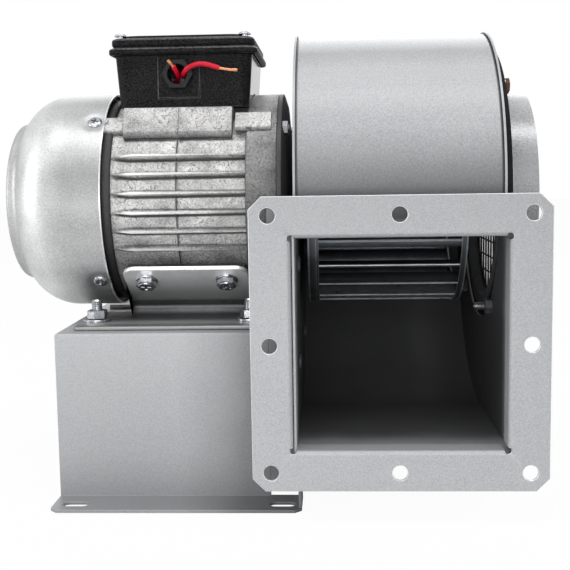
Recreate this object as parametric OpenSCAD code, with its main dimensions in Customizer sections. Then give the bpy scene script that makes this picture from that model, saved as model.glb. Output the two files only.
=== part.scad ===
// Centrifugal fan: sheet-metal scroll and squirrel-cage impeller on a foot-mounted single-phase motor.
// Origin: middle of the four foot slots, on the base plane. X runs along the shaft to the inlet,
// the outlet faces -Y and Z is up.

/* [Pedestal] */
// Length of the pedestal along the motor
pedestal_l = 134; // [126:1:138]
// Width over the pedestal walls
pedestal_w = 190; // [180:1:198]
// Height of the pedestal
pedestal_h = 106; // [100:1:130]
// Sheet of the pedestal and of the scroll support
stand_t = 2; // [1.5:0.1:2.5]
// Width of each base lip
lip_w = 27; // [20:1:30]
// Length of the lip beyond the middle of the rear foot slots
lip_end = 14; // [12:1:20]
// Height of the upturned tab at the scroll end of each lip
lip_tab_h = 12; // [8:1:16]
// Corner chamfer of the lips
lip_chamfer = 4; // [1:0.5:6]
// Pitch of the foot slots along the shaft
slot_pitch_x = 128; // [122:1:130]
// Pitch of the foot slots across the shaft
slot_pitch_y = 222; // [206:1:230]
// Width of the foot slots
slot_d = 8; // [6:0.5:9]
// Length of the foot slots over their round ends
slot_l = 16; // [10:0.5:16]
// Reach of the lips beyond the scroll support
lip_over = 3.5; // [3:0.5:6]

/* [Scroll support] */
// Height of the support plate
support_h = 186; // [176:1:200]
// Gap between the support and the base lips
support_lift = 4; // [3:0.5:8]
// Half width of the notch round the shaft
support_notch = 36; // [32:1:44]

/* [Scroll] */
// Distance from the slot middle to the inner face of the motor-side plate
scroll_x = 74; // [73:0.5:80]
// Inside width of the scroll
scroll_w = 124.6; // [120:0.1:130]
// Sheet of the scroll
scroll_t = 1.5; // [1:0.1:2]
// Inside reach of the scroll to the front, at the tongue
scroll_front = 100; // [96:1:104]
// Inside reach to the top
scroll_top = 108; // [106:1:114]
// Inside reach to the back
scroll_back = 122; // [118:1:128]
// Inside reach to the bottom
scroll_bottom = 145.6; // [144:0.1:150]
// Radius of the first spiral arc, from tongue to top
first_arc_r = 103; // [100:1:104]
// Height of the outlet duct
duct_h = 128.1; // [126:0.1:134]
// Bend radius of the tongue
tongue_r = 8; // [5:0.5:10]
// How far the side plates stand proud of the band
side_rim = 1; // [0.5:0.1:3]
// Width of the groove between the band and each side plate
seam_w = 1.3; // [0.8:0.1:2]
// Depth of that groove
seam_h = 0.8; // [0.4:0.1:1]
// Radius of the shaft hole in the motor-side plate
shaft_hole_r = 30; // [24:1:34]
// Radius of the wheel opening in the inlet-side plate
wheel_hole_r = 84; // [80:1:86]

/* [Outlet flange] */
// Distance from the shaft axis to the flange face
flange_y = 137; // [130:1:150]
// Outside size of the square flange
flange_size = 172; // [168:1:180]
// Sheet of the flange
flange_t = 2; // [1.5:0.1:3]
// Corner chamfer of the flange as a share of the width of its face
flange_chamfer_share = 0.3125; // [0.15:0.0125:0.4]
// Outer radius of the bend round the opening
flange_bend_r = 2.5; // [2.5:0.5:5]
// Depth of the lips that are bent back into the duct
flange_lip = 15; // [8:1:20]
// Width of the opening of the flange
flange_open = 124; // [120:0.5:125]
// Distance of the holes inwards from the middle of the flat face
flange_hole_shift = 0.25; // [0:0.05:1]
// Diameter of the flange holes
flange_hole_d = 9; // [6:0.5:11]
// Radius of the corner reliefs of the opening
relief_r = 2; // [1.5:0.5:4]
// Setback of the duct walls behind the flange face
duct_setback = 4; // [3:0.5:8]
// Gap between the side lip of the flange and the inlet-side plate
flange_lip_gap = 0.6; // [0.1:0.1:1]

/* [Inlet] */
// Diameter of the black inlet ring
inlet_ring_d = 198; // [192:1:210]
// Thickness of the inlet ring
inlet_ring_t = 4; // [2:0.5:5]
// Outside diameter of the inlet collar
collar_d = 141; // [135:1:144]
// Length of the collar beyond the inlet ring
collar_l = 21.4; // [18:0.1:40]
// Sheet of the collar
collar_t = 1.2; // [1:0.1:2]
// Radial width of the lip that holds the collar behind the ring
collar_lip = 6; // [4:0.5:8]
// Height of the bead near the root of the collar
collar_bead = 0.8; // [0.4:0.1:1.5]
// Pitch circle radius of the inlet ring screws
inlet_screw_r = 91; // [90:0.5:93]
// Angle of the inlet ring screws from the horizontal
inlet_screw_angle = 50; // [40:1:60]
// Pitch of the guard wires
guard_pitch = 11; // [8:0.5:16]
// Thickness of the guard wires
guard_wire = 1.6; // [1.2:0.1:2.4]

/* [Impeller] */
// Outside radius of the impeller
impeller_r = 73; // [70:0.5:76]
// Inside radius of the vane ring
vane_inner_r = 58; // [54:0.5:62]
// Number of vanes
vane_count = 24; // [16:1:36]
// Sheet of the impeller
impeller_t = 1.2; // [0.8:0.1:1.6]
// Gap between the motor-side plate and the impeller
impeller_gap = 6; // [5:0.5:8]
// Length of the impeller along the shaft
impeller_l = 102; // [92:1:106]
// Width of the rim of the back plate
back_rim = 7; // [4:0.5:9]
// Width of the rim of the front ring
front_rim = 4; // [3:0.5:7]
// Length of the hub behind the back plate
hub_l = 30; // [26:1:36]
// Radius of the hub
hub_r = 19; // [17:0.5:24]

/* [Motor] */
// Middle of the motor feet from the slot middle
motor_x = -8; // [-9:0.5:-7]
// Gap between the drive ring and the pedestal
frame_gap = 8.5; // [8:0.5:12]
// Pitch of the foot bolts along the shaft
foot_pitch_x = 100; // [98:1:102]
// Pitch of the foot bolts across the shaft
foot_pitch_y = 125; // [120:1:130]
// Length of the frame between the end shields
frame_l = 114; // [112:0.5:115]
// Distance from the foot middle to the rear end of the frame
frame_back = 45; // [44:0.5:46]
// Length of the plain ring at the drive end
drive_ring_l = 20; // [16:1:22]
// Length of the plain ring at the rear end
rear_ring_l = 7; // [5:0.5:9]
// Depth of the drive ring below the outside of the cowl
ring_drop = 1.5; // [1:0.1:2]
// Depth of the fin tips below the outside of the cowl
fin_drop = 2; // [1.5:0.1:3]
// Height of the fins
fin_h = 4; // [3:0.1:5]
// Width of a fin
fin_w = 4.5; // [3:0.1:6]
// Angle between neighbouring fins
fin_step = 10.25; // [10:0.25:12]
// Angle of the uppermost fin from the horizontal
fin_first = 25.3; // [24:0.1:26]
// Wall of the frame under the fins
frame_wall = 7; // [6.5:0.1:8]
// Depth of the stator core from its outside to its bore
core_depth = 24; // [22:0.1:26]
// Length of the stator core
core_l = 70; // [64:1:72]
// Number of stator slots
slot_count = 24; // [12:2:36]
// Gap between the rotor and the stator
air_gap = 0.4; // [0.3:0.1:1]

/* [Foot brackets] */
// Sheet of the brackets
bracket_t = 3; // [2.5:0.1:4]
// Length of the bracket base along the shaft
bracket_l = 120; // [116:1:124]
// Distance from the shaft axis to the front edge of the bracket base
bracket_edge = 85; // [80:1:90]
// Length of the slanted plate along the shaft
bracket_plate_l = 82; // [78:1:84]
// Slope of the slanted plate above the horizontal
bracket_tilt = 35; // [33:0.5:37]
// Rise of the foot pads over the fin roots
pad_rise = 3; // [3:0.1:4]
// Reach of the slanted plate beyond the tangent point
bracket_reach = 28; // [24:1:32]
// Screw position beyond the tangent point
bracket_screw_s = 14.5; // [12:0.5:16]
// Pitch of the bracket screws along the shaft
bracket_screw_pitch = 53; // [46:1:60]

/* [Shaft and bearings] */
// Radius of the drive end of the shaft
shaft_r = 9.5; // [9:0.1:9.8]
// Radius of the bearing seats
seat_r = 10; // [9.9:0.1:11]
// Radius of the shaft between the bearings
core_shaft_r = 12; // [11.5:0.1:13]
// Outside radius of the bearings
bearing_r = 23.5; // [23:0.1:24]
// Width of the bearings
bearing_w = 14; // [12:0.5:15]
// Radius of the balls
ball_r = 4; // [3.6:0.1:4]
// Balls in each bearing
ball_count = 8; // [6:1:8]
// Side of the square shaft key
key_w = 6; // [4:0.5:6]
// Length of the shaft key
key_l = 22; // [16:1:24]

/* [Fan cowl] */
// Outside diameter of the cowl
cowl_d = 146; // [145:0.5:148]
// Sheet of the cowl
cowl_t = 1.2; // [1:0.1:1.6]
// Overlap of the cowl over the frame
cowl_overlap = 1.7; // [1:0.1:3]
// Length of the cowl
cowl_l = 67.5; // [66:0.5:80]
// Corner radius of the cowl
cowl_corner_r = 34; // [28:1:36]
// Distance from the outside of the cowl in to the raised end disc
cowl_disc_inset = 19; // [16:1:23]
// Height of the raised end disc
cowl_disc_h = 5; // [3:0.5:6]
// Angle of the cowl screws from the horizontal
cowl_screw_angle = 46; // [34:1:50]
// Blades of the cooling fan
blade_count = 8; // [5:1:12]
// Distance from the outside of the cowl in to the cooling fan
cooling_fan_inset = 13; // [11:1:23]

/* [Terminal box] */
// Depth of the terminal pad below the top of the barrel
box_drop = 6; // [3:0.5:7]
// Length of the box at its bottom
box_l = 85; // [80:1:90]
// Width of the box at its bottom
box_w = 90; // [86:1:94]
// Height of the box below the lid
box_h = 34; // [34:0.5:40]
// Widening of each side towards the lid
box_flare = 2.5; // [1:0.5:3]
// Wall of the box
box_wall = 3; // [2.5:0.1:4]
// Overhang of the lid over the box on each side
lid_overhang = 3.5; // [2:0.5:5]
// Height of the lid
lid_h = 12.5; // [10:0.5:16]
// Thickness of the lid gasket
gasket_t = 1; // [0.6:0.1:1.6]
// Across-flats size of the gland ring
gland_flats = 18; // [16:0.5:20]
// Bore of the gland ring
gland_bore = 12.5; // [11:0.5:13]
// Height of the gland above the bottom of the box
gland_up = 21; // [20:0.5:23]
// Distance from the middle of the box to the gland
gland_x = -3; // [-6:0.5:4]
// Diameter of the lead insulation
lead_d = 3.2; // [2.6:0.1:3.4]
// Diameter of the bare strands
copper_d = 2; // [1.4:0.1:2.4]

/* [Fasteners] */
// Radius of the M6 screws
m6_r = 3; // [2.8:0.1:3]
// Across-flats size of the M6 heads and nuts
m6_flats = 10; // [9:0.5:11]
// Radius of the M8 foot bolts
m8_r = 4; // [3.5:0.1:4]
// Across-flats size of the M8 heads and nuts
m8_flats = 13; // [12:0.5:14]
// Radius of the M5 shield studs
m5_r = 2.5; // [2.2:0.1:2.5]
// Across-flats size of the M5 nuts
m5_flats = 8; // [7:0.5:9]
// Radius of the small pan-head screws
pan_r = 1.75; // [1.5:0.05:2]

/* [Fits] */
// Clearance of fixed pieces that slide into each other
fit = 0.1; // [0.05:0.01:0.2]
// Clearance of a screw in its hole
screw_fit = 0.3; // [0.2:0.05:0.5]
// Running clearance of the balls
ball_fit = 0.12; // [0.08:0.01:0.2]

/* [Hidden] */
$fn = 64;

// Length added to a cutting tool so that it passes right through
over = 1;

// Radii of the motor, all from the cowl that fits over its rear end
drive_ring_r = cowl_d / 2 - ring_drop;
fin_tip_r = cowl_d / 2 - fin_drop;
fin_root_r = fin_tip_r - fin_h;
stator_r = fin_root_r - frame_wall;
stator_bore_r = stator_r - core_depth;
pad_r = fin_root_r + pad_rise;
cowl_disc_r = cowl_d / 2 - cowl_disc_inset;
cooling_fan_r = cowl_d / 2 - cooling_fan_inset;
shaft_h = drive_ring_r + frame_gap;
box_seat = fin_root_r - box_drop;

// Heights and stations along the shaft
axis_z = pedestal_h + shaft_h;
pedestal_x0 = -slot_pitch_x / 2 - lip_end;
pedestal_x1 = pedestal_x0 + pedestal_l;
side_x0 = scroll_x - scroll_t;
scroll_x1 = scroll_x + scroll_w;
side_x1 = scroll_x1 + scroll_t;
frame_x0 = motor_x - frame_back;
frame_x1 = frame_x0 + frame_l;
fin_x0 = frame_x0 + rear_ring_l;
fin_x1 = frame_x1 - drive_ring_l;
core_setback = 17;
core_x0 = frame_x0 + core_setback;
core_x1 = core_x0 + core_l;
pad_shift = 8;
pad_x = motor_x + pad_shift;

// Spiral of three arcs that meet with a common tangent, as [y, z, radius, quadrant turn]
arc_1 = [first_arc_r - scroll_front, scroll_top - first_arc_r, first_arc_r, 90];
arc_2 = [arc_1[0], scroll_top - (scroll_back - arc_1[0]), scroll_back - arc_1[0], 0];
arc_3 = [scroll_back - (scroll_bottom + arc_2[1]), arc_2[1], scroll_bottom + arc_2[1], -90];
spiral = [arc_1, arc_2, arc_3];
duct_top = duct_h - scroll_bottom;
flange_z = axis_z + (duct_top - scroll_bottom) / 2;
flange_x = scroll_x1 - flange_t - flange_lip_gap - flange_open / 2;
flange_face_w = (flange_size - flange_open) / 2;
flange_chamfer = flange_chamfer_share * flange_face_w;
flange_pitch = flange_open + flange_bend_r + flange_face_w - 2 * flange_hole_shift;
duct_y = flange_y - duct_setback;

// Bearings and shields
drive_bearing_inset = 11;
rear_bearing_outset = 5;
drive_bearing_x = frame_x1 - drive_bearing_inset;
rear_bearing_x = frame_x0 - rear_bearing_outset;
pitch_r = (bearing_r + seat_r) / 2;
race_gap = ball_r * 0.56;
shield_rim = 3;
shield_bulge = 8;
shield_web = 4;
spigot_l = 4;
spigot_wall = 5;
bearing_wall = 6.5;
shield_stud_r = (drive_ring_r + stator_r) / 2;
rear_screw_inset = 3.7;
rear_screw_r = stator_r + rear_screw_inset;
rear_screw_angles = [0, 90, 180, 270];
rear_web = 5;
bearing_cap = 2;
cowl_in_r = cowl_d / 2 - cowl_t;
cowl_seat_l = 10;
cowl_rim = 3.1;
cowl_x1 = frame_x0 + cowl_overlap;
cowl_x0 = cowl_x1 - cowl_l;
cowl_screw_x = frame_x0 - cowl_seat_l / 2;
wave_t = 2;
pan_head = 2.1;
pan_head_h = 1.8;

// Impeller
impeller_x0 = scroll_x + impeller_gap;
impeller_x1 = impeller_x0 + impeller_l;
vane_outer_r = impeller_r - impeller_t - fit;
vane_t = 1;
vane_lean = 18;
shaft_x1 = impeller_x0 + hub_l;

// Terminal box
box_z = axis_z + box_seat;
lid_z = box_z + box_h + gasket_t;
lid_t = 2.5;
box_corner = 6;
gland_z = box_z + gland_up;
gland_y = -box_w / 2 - box_flare;
gland_l = 5;
gland_wall = 1.5;
gland_tail = 8;
rib_h = 1.2;
crown_r = fin_root_r + rib_h;
wire_hole_x = -18;
wire_hole_r = 9;
block_x = -20;
block_y = -22;
block_size = [36, 12, 14];
block_pitch = 11;
block_screw_r = 2.4;
capacitor_x = -33;
capacitor_y = 16;
capacitor_r = 12.5;
capacitor_l = 64;

// Routes of the two leads from the terminal block through the gland to the bare end, as offsets from the gland
gland_at = [pad_x + gland_x, gland_y, gland_z];
lead_long_offsets = [[11, 25.5, -6], [8.6, 20.5, -4.6], [6.6, 15.5, -3.2], [4.8, 10.5, -1.9], [3.5, 5.5, -1],
    [3.7, 0.5, -0.8], [3.9, -3, 0], [5.2, -5.7, 1.4], [7.4, -7.9, 3], [11, -9.2, 4.6],
    [15.5, -9.7, 5.5], [20.5, -9.7, 5], [24.5, -9.5, 3.8], [28, -9.5, 2.6]];
lead_long_bare = [[28, -9.5, 2.6], [34, -9.5, 1.6], [39.5, -9.5, 1.2]];
lead_short_offsets = [[-9, 25.5, -6], [-6.6, 20.5, -5], [-4.4, 15.5, -4], [-2.2, 10.5, -2.8], [-0.6, 5.5, -1.8],
    [-0.2, 0.5, -0.8], [-0.3, -3, 0.8], [-0.9, -5.5, 2.5], [-1.8, -7.5, 4.4]];
lead_short_bare = [[-1.8, -7.5, 4.4], [-3.3, -8.8, 6.4], [-4.9, -9.5, 8.2]];
lead_long_route = [for (p = lead_long_offsets) gland_at + p];
lead_long_end = [for (p = lead_long_bare) gland_at + p];
lead_short_route = [for (p = lead_short_offsets) gland_at + p];
lead_short_end = [for (p = lead_short_bare) gland_at + p];

// Revolves a profile of [radius, x] about the shaft axis
module turned() {
    translate([0, 0, axis_z]) rotate([0, 90, 0]) rotate_extrude() children();
}

// Extrudes a profile of [y, z] about the shaft axis from x0 to x1
module along_x(x0, x1) {
    translate([x0, 0, axis_z]) rotate([90, 0, 90]) linear_extrude(x1 - x0) children();
}

// Ring profile for a revolve
module ring_2d(r0, r1, x0, x1) {
    translate([r0, x0]) square([r1 - r0, x1 - x0]);
}

// Round bar along +Z
module bar(r, l) {
    cylinder(r = r, h = l);
}

// Hexagon prism along +Z, by its across-flats size
module hex(flats, l) {
    cylinder(r = flats / sqrt(3), h = l, $fn = 6);
}

// Turns +Z to point along X
module to_x() {
    rotate([0, 90, 0]) children();
}

// Copies children to the four corners of a rectangle on the XY plane
module corners(dx, dy) {
    for (x = [-dx / 2, dx / 2], y = [-dy / 2, dy / 2]) translate([x, y, 0]) children();
}

// Copies children round the shaft axis, each with +Z along X
module round_axis(r, angles) {
    for (a = angles) translate([0, r * cos(a), axis_z + r * sin(a)]) to_x() children();
}

// Tube of a lead swept along its route, with flat ends
function unit(v) = v / norm(v);
function heading(route, i) =
    unit(route[min(i + 1, len(route) - 1)] - route[max(i - 1, 0)]);
function lead_ring(p, dir, r, sides) =
    let (side = unit(cross(dir, [0, 0, 1])), up = cross(side, dir))
    [for (k = [0:sides - 1]) p + r * (cos(360 * k / sides) * side + sin(360 * k / sides) * up)];
module lead_tube(route, d, sides = 8) {
    n = len(route);
    points = [for (i = [0:n - 1]) each lead_ring(route[i], heading(route, i), d / 2, sides)];
    walls = [for (i = [0:n - 2], k = [0:sides - 1])
        let (a = i * sides + k, b = i * sides + (k + 1) % sides)
        each [[a, a + sides, b], [b, a + sides, b + sides]]];
    near_cap = [[for (k = [0:sides - 1]) k]];
    far_cap = [[for (k = [sides - 1:-1:0]) (n - 1) * sides + k]];
    polyhedron(points, concat(walls, near_cap, far_cap));
}

// Pedestal: inverted U with slotted lips and an upturned tab at the scroll end of each lip
module pedestal_stand() {
    lip_x1 = side_x0 + lip_over;
    half = pedestal_w / 2;
    color("#a9acae") difference() {
        union() {
            translate([pedestal_x0, -half, pedestal_h - stand_t]) cube([pedestal_l, pedestal_w, stand_t]);
            for (s = [0, 1]) mirror([0, s, 0]) {
                translate([pedestal_x0, -half, 0]) cube([pedestal_l, stand_t, pedestal_h]);
                linear_extrude(stand_t) polygon([[pedestal_x0, -half + stand_t],
                    [pedestal_x0, -half - lip_w + lip_chamfer], [pedestal_x0 + lip_chamfer, -half - lip_w],
                    [lip_x1 - lip_chamfer, -half - lip_w], [lip_x1, -half - lip_w + lip_chamfer],
                    [lip_x1, -half + stand_t]]);
                translate([lip_x1 - stand_t, -half - lip_w + lip_chamfer, 0])
                    cube([stand_t, lip_w - lip_chamfer, lip_tab_h]);
            }
        }
        translate([0, 0, -over]) corners(slot_pitch_x, slot_pitch_y) {
            slot_straight = slot_l - slot_d;
            for (e = [-0.5, 0.5]) translate([e * slot_straight, 0, 0]) bar(slot_d / 2, stand_t + 2 * over);
            translate([-slot_straight / 2, -slot_d / 2, 0]) cube([slot_straight, slot_d, stand_t + 2 * over]);
        }
        translate([motor_x, 0, pedestal_h - stand_t - over]) corners(foot_pitch_x, foot_pitch_y)
            bar(m8_r + screw_fit, stand_t + 2 * over);
    }
}

// Scroll support: channel with returns that meet the pedestal walls
support_bolts = [[-70, -40], [70, -40], [-60, -105], [60, -105]];
module scroll_support() {
    half = pedestal_w / 2;
    web_x = side_x0 - stand_t;
    z0 = stand_t + support_lift;
    color("#a9acae") difference() {
        union() {
            translate([web_x, -half, z0]) cube([stand_t, pedestal_w, support_h - z0]);
            for (s = [0, 1]) mirror([0, s, 0])
                translate([pedestal_x1, -half, z0])
                    cube([web_x - pedestal_x1 + stand_t, stand_t, support_h - z0]);
        }
        translate([web_x - over, 0, axis_z]) to_x() bar(support_notch, stand_t + 2 * over);
        translate([web_x - over, -support_notch, axis_z])
            cube([stand_t + 2 * over, 2 * support_notch, support_h]);
        for (p = support_bolts) translate([web_x - over, p[0], axis_z + p[1]]) to_x()
            bar(m6_r + screw_fit, stand_t + 2 * over);
    }
}

// Low round-head bolts and nuts that hold the casing to its support
module scroll_support_bolts() {
    head = 1.6;
    nut = 4;
    grip = stand_t + scroll_t;
    color("#b9bdc2") for (p = support_bolts) translate([scroll_x, p[0], axis_z + p[1]]) to_x() {
        bar(m6_r * 1.8, head);
        translate([0, 0, -grip]) bar(m6_r, grip);
        translate([0, 0, -grip - nut]) hex(m6_flats, nut);
    }
}

// Places children in the plane of a slanted bracket plate: Z is the outward normal from the shaft axis
module bracket_plane(side) {
    translate([pad_x, 0, axis_z]) mirror([0, side, 0]) rotate([180 - bracket_tilt, 0, 0]) children();
}

// Foot bracket: base on the pedestal, round fold under the motor, slanted plate against the foot pad
module foot_bracket(side) {
    outer_r = pad_r + bracket_t;
    fold_z = pedestal_h + bracket_t;
    fold_y = (outer_r - (axis_z - fold_z) * cos(bracket_tilt)) / sin(bracket_tilt);
    fold_s = fold_y * cos(bracket_tilt) - (axis_z - fold_z) * sin(bracket_tilt);
    corner = 8;
    color("#b4b8bd") difference() {
        union() {
            mirror([0, side, 0]) {
                translate([motor_x - bracket_l / 2, -bracket_edge, pedestal_h])
                    cube([bracket_l, bracket_edge - fold_y, bracket_t]);
                translate([pad_x - bracket_plate_l / 2, -fold_y, fold_z]) to_x()
                    bar(bracket_t, bracket_plate_l);
            }
            bracket_plane(side) translate([0, 0, pad_r]) linear_extrude(bracket_t) {
                translate([-bracket_plate_l / 2, fold_s])
                    square([bracket_plate_l, bracket_reach - corner - fold_s]);
                translate([corner - bracket_plate_l / 2, fold_s])
                    square([bracket_plate_l - 2 * corner, bracket_reach - fold_s]);
                for (e = [-1, 1]) translate([e * (bracket_plate_l / 2 - corner), bracket_reach - corner])
                    circle(r = corner);
            }
        }
        translate([motor_x, 0, pedestal_h - over]) corners(foot_pitch_x, foot_pitch_y)
            bar(m8_r + screw_fit, bracket_t + 2 * over);
        for (e = [-0.5, 0.5]) bracket_plane(side)
            translate([e * bracket_screw_pitch, bracket_screw_s, pad_r - over])
                bar(m6_r + screw_fit, bracket_t + 2 * over);
    }
}
module foot_bracket_front() { foot_bracket(0); }
module foot_bracket_rear() { foot_bracket(1); }

// Hex flange screws of the slanted plates
screw_depth = 7;
module bracket_screws() {
    flange_h = 1.4;
    head = 5;
    color("#c4c8cc") for (side = [0, 1], e = [-0.5, 0.5]) bracket_plane(side)
        translate([e * bracket_screw_pitch, bracket_screw_s, pad_r + bracket_t]) {
            bar(m6_flats * 0.68, flange_h);
            hex(m6_flats, head);
            translate([0, 0, -bracket_t - screw_depth]) bar(m6_r, bracket_t + screw_depth);
        }
}

// Foot bolts with their heads under the pedestal top, wide washers and nuts
washer_t = 1.6;
nut_h = 6.5;
module foot_bolts() {
    head = 5.3;
    grip = stand_t + bracket_t + washer_t + nut_h;
    color("#b9bdc2") translate([motor_x, 0, pedestal_h - stand_t]) corners(foot_pitch_x, foot_pitch_y) {
        translate([0, 0, -head]) hex(m8_flats, head);
        bar(m8_r, grip + 4);
    }
}
module foot_washers() {
    color("#c4c8cc") translate([motor_x, 0, pedestal_h + bracket_t]) corners(foot_pitch_x, foot_pitch_y)
        difference() {
            bar(9, washer_t);
            translate([0, 0, -over]) bar(m8_r + fit, washer_t + 2 * over);
        }
}
module foot_nuts() {
    color("#c4c8cc") translate([motor_x, 0, pedestal_h + bracket_t + washer_t])
        corners(foot_pitch_x, foot_pitch_y) difference() {
            hex(m8_flats, nut_h);
            translate([0, 0, -over]) bar(m8_r + fit, nut_h + 2 * over);
        }
}

// Motor frame: finned barrel with a terminal pad on top and two slanted foot pads
fin_angles = concat([for (k = [0:5]) 180 - fin_first + k * fin_step],
    [for (k = [0:5]) fin_first - k * fin_step], [for (k = [-1:1]) -90 + k * fin_step]);
stud_angles = [45, 135, 225, 315];
stud_depth = 12;
rear_screw_depth = 12;
module fin_outline() {
    circle(r = fin_root_r);
    for (a = fin_angles) rotate(a) {
        translate([0, -fin_w / 2]) square([fin_tip_r - fin_w / 2, fin_w]);
        translate([fin_tip_r - fin_w / 2, 0]) circle(r = fin_w / 2);
    }
}
module mirrored_outline(half) {
    n = len(half);
    polygon(concat(half, [for (k = [n - 1:-1:0]) [-half[k][0], half[k][1]]]));
}
module terminal_pad() {
    r = fin_root_r;
    pad_x0 = -39;
    pad_x1 = 32;
    shoulder_x = [[frame_x0 + 1, pad_x + pad_x0], [pad_x + pad_x1 + 2, frame_x1 - 3.5]];
    along_x(pad_x + pad_x0, pad_x + pad_x1) mirrored_outline([[18 - r, box_seat], [11 - r, r - 21.5],
        [12.5 - r, r - 26], [21 - r, r - 29]]);
    along_x(shoulder_x[0][0], shoulder_x[0][1]) mirrored_outline([[20 - r, r - 12], [13.5 - r, r - 20.5],
        [15 - r, r - 23.5]]);
    along_x(shoulder_x[1][0], shoulder_x[1][1]) mirrored_outline([[17 - r, r - 10], [10 - r, r - 19.5],
        [11.5 - r, r - 22.5]]);
}
module motor_frame() {
    rib_w = 1.6;
    rib_x = pad_x - 3.3;
    foot_pad_margin = 2;
    foot_pad_s = [-14, 20];
    color("#8f8c88") difference() {
        union() {
            along_x(fin_x0, fin_x1) fin_outline();
            turned() ring_2d(0, drive_ring_r, fin_x1, frame_x1);
            turned() ring_2d(0, fin_root_r + 2, frame_x0, fin_x0);
            turned() ring_2d(0, crown_r, rib_x - rib_w / 2, rib_x + rib_w / 2);
            terminal_pad();
            for (side = [0, 1]) bracket_plane(side)
                translate([foot_pad_margin - bracket_plate_l / 2, foot_pad_s[0], 0])
                    cube([bracket_plate_l - 2 * foot_pad_margin, foot_pad_s[1] - foot_pad_s[0], pad_r]);
        }
        turned() ring_2d(0, stator_r, frame_x0 - over, frame_x1 + over);
        translate([pad_x + wire_hole_x, 0, axis_z]) bar(wire_hole_r, drive_ring_r + over);
        for (side = [0, 1], e = [-0.5, 0.5]) bracket_plane(side)
            translate([e * bracket_screw_pitch, bracket_screw_s, pad_r - screw_depth - over])
                bar(m6_r + fit, screw_depth + 2 * over);
        translate([frame_x1 - stud_depth, 0, 0]) round_axis(shield_stud_r, stud_angles)
            bar(m5_r + fit, stud_depth + over);
        translate([frame_x0 - over, 0, 0]) round_axis(rear_screw_r, rear_screw_angles)
            bar(pan_r + fit, rear_screw_depth + over);
    }
}

// Stator: slotted core and a winding with bars in the slots and a ring of end turns at each end
stator_slot_r = 3;
stator_slot_pitch_r = stator_bore_r + 10;
stator_angles = [for (k = [0:slot_count - 1]) k * 360 / slot_count];
module stator_core() {
    color("#5c6066") difference() {
        turned() ring_2d(stator_bore_r, stator_r - fit, core_x0, core_x1);
        translate([core_x0 - over, 0, 0]) round_axis(stator_slot_pitch_r, stator_angles)
            bar(stator_slot_r, core_l + 2 * over);
    }
}
module stator_winding() {
    turn_l = 11;
    color("#a8623a") {
        for (x = [core_x0 - turn_l - fit, core_x1 + fit])
            turned() ring_2d(stator_slot_pitch_r - 6, stator_slot_pitch_r + 7, x, x + turn_l);
        translate([core_x0 - fit, 0, 0]) round_axis(stator_slot_pitch_r, stator_angles)
            bar(stator_slot_r - fit, core_l + 2 * fit);
    }
}

// Drive end shield: domed cover with the bearing seat
module drive_end_shield() {
    x = frame_x1;
    hub = bearing_r + bearing_wall;
    seat_x1 = drive_bearing_x + bearing_w;
    spigot_r = stator_r - fit;
    dome = 2.5;
    shield_slope = 8;
    color("#4a4845") difference() {
        turned() polygon([[core_shaft_r, x + shield_bulge], [hub + 4, x + shield_bulge],
            [drive_ring_r - shield_slope, x + shield_bulge - dome], [drive_ring_r, x + shield_rim],
            [drive_ring_r, x], [spigot_r, x], [spigot_r, x - spigot_l], [spigot_r - spigot_wall, x - spigot_l],
            [spigot_r - spigot_wall, x + shield_bulge - dome - shield_web],
            [hub, x + shield_bulge - dome - shield_web], [hub, drive_bearing_x],
            [bearing_r + fit / 2, drive_bearing_x], [bearing_r + fit / 2, seat_x1],
            [core_shaft_r, seat_x1]]);
        translate([x - over, 0, 0]) round_axis(shield_stud_r, stud_angles)
            bar(m5_r + screw_fit, shield_bulge + over);
        translate([x + shield_rim, 0, 0]) round_axis(shield_stud_r, stud_angles)
            bar(m5_flats * 0.62, shield_bulge);
    }
}

// Studs and nuts of the drive end shield
stud_nut_h = 4;
module shield_studs() {
    grip = stud_depth + shield_rim + stud_nut_h;
    color("#9aa0a6") translate([frame_x1 - stud_depth, 0, 0]) round_axis(shield_stud_r, stud_angles) {
        bar(m5_r, grip);
        translate([0, 0, grip - m5_r / 2]) sphere(r = m5_r);
    }
}
module shield_nuts() {
    color("#b9bdc2") translate([frame_x1 + shield_rim, 0, 0]) round_axis(shield_stud_r, stud_angles)
        difference() {
            hex(m5_flats, stud_nut_h);
            translate([0, 0, -over]) bar(m5_r + fit, stud_nut_h + 2 * over);
        }
}

// Rear end shield: web with the bearing seat and the rim that carries the cowl
module rear_end_shield() {
    x = frame_x0;
    hub = bearing_r + bearing_wall;
    back = rear_bearing_x - wave_t;
    rim_in_r = cowl_in_r - fit - cowl_rim;
    web_x = x - 1;
    spigot_r = stator_r - fit;
    color("#7d7a76") difference() {
        turned() polygon([[core_shaft_r, back - bearing_cap], [hub, back - bearing_cap], [hub, x - rear_web],
            [rim_in_r, x - rear_web], [rim_in_r, x - cowl_seat_l], [cowl_in_r - fit, x - cowl_seat_l],
            [cowl_in_r - fit, x], [spigot_r, x],
            [spigot_r, x + spigot_l], [spigot_r - spigot_wall, x + spigot_l], [spigot_r - spigot_wall, web_x],
            [hub, web_x], [hub, rear_bearing_x + bearing_w], [bearing_r + fit / 2, rear_bearing_x + bearing_w],
            [bearing_r + fit / 2, back], [core_shaft_r, back]]);
        translate([x - rear_web - over, 0, 0]) round_axis(rear_screw_r, rear_screw_angles)
            bar(pan_r + fit, rear_web + 2 * over);
        cowl_screw_places() translate([0, 0, -cowl_rim - over - fit]) bar(pan_r + fit, cowl_rim + 2 * over);
    }
}
module rear_shield_screws() {
    color("#b9bdc2") translate([frame_x0 - rear_web, 0, 0]) round_axis(rear_screw_r, rear_screw_angles) {
        translate([0, 0, -pan_head_h]) bar(pan_head * pan_r, pan_head_h);
        bar(pan_r, rear_screw_depth + rear_web - over);
    }
}

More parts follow.
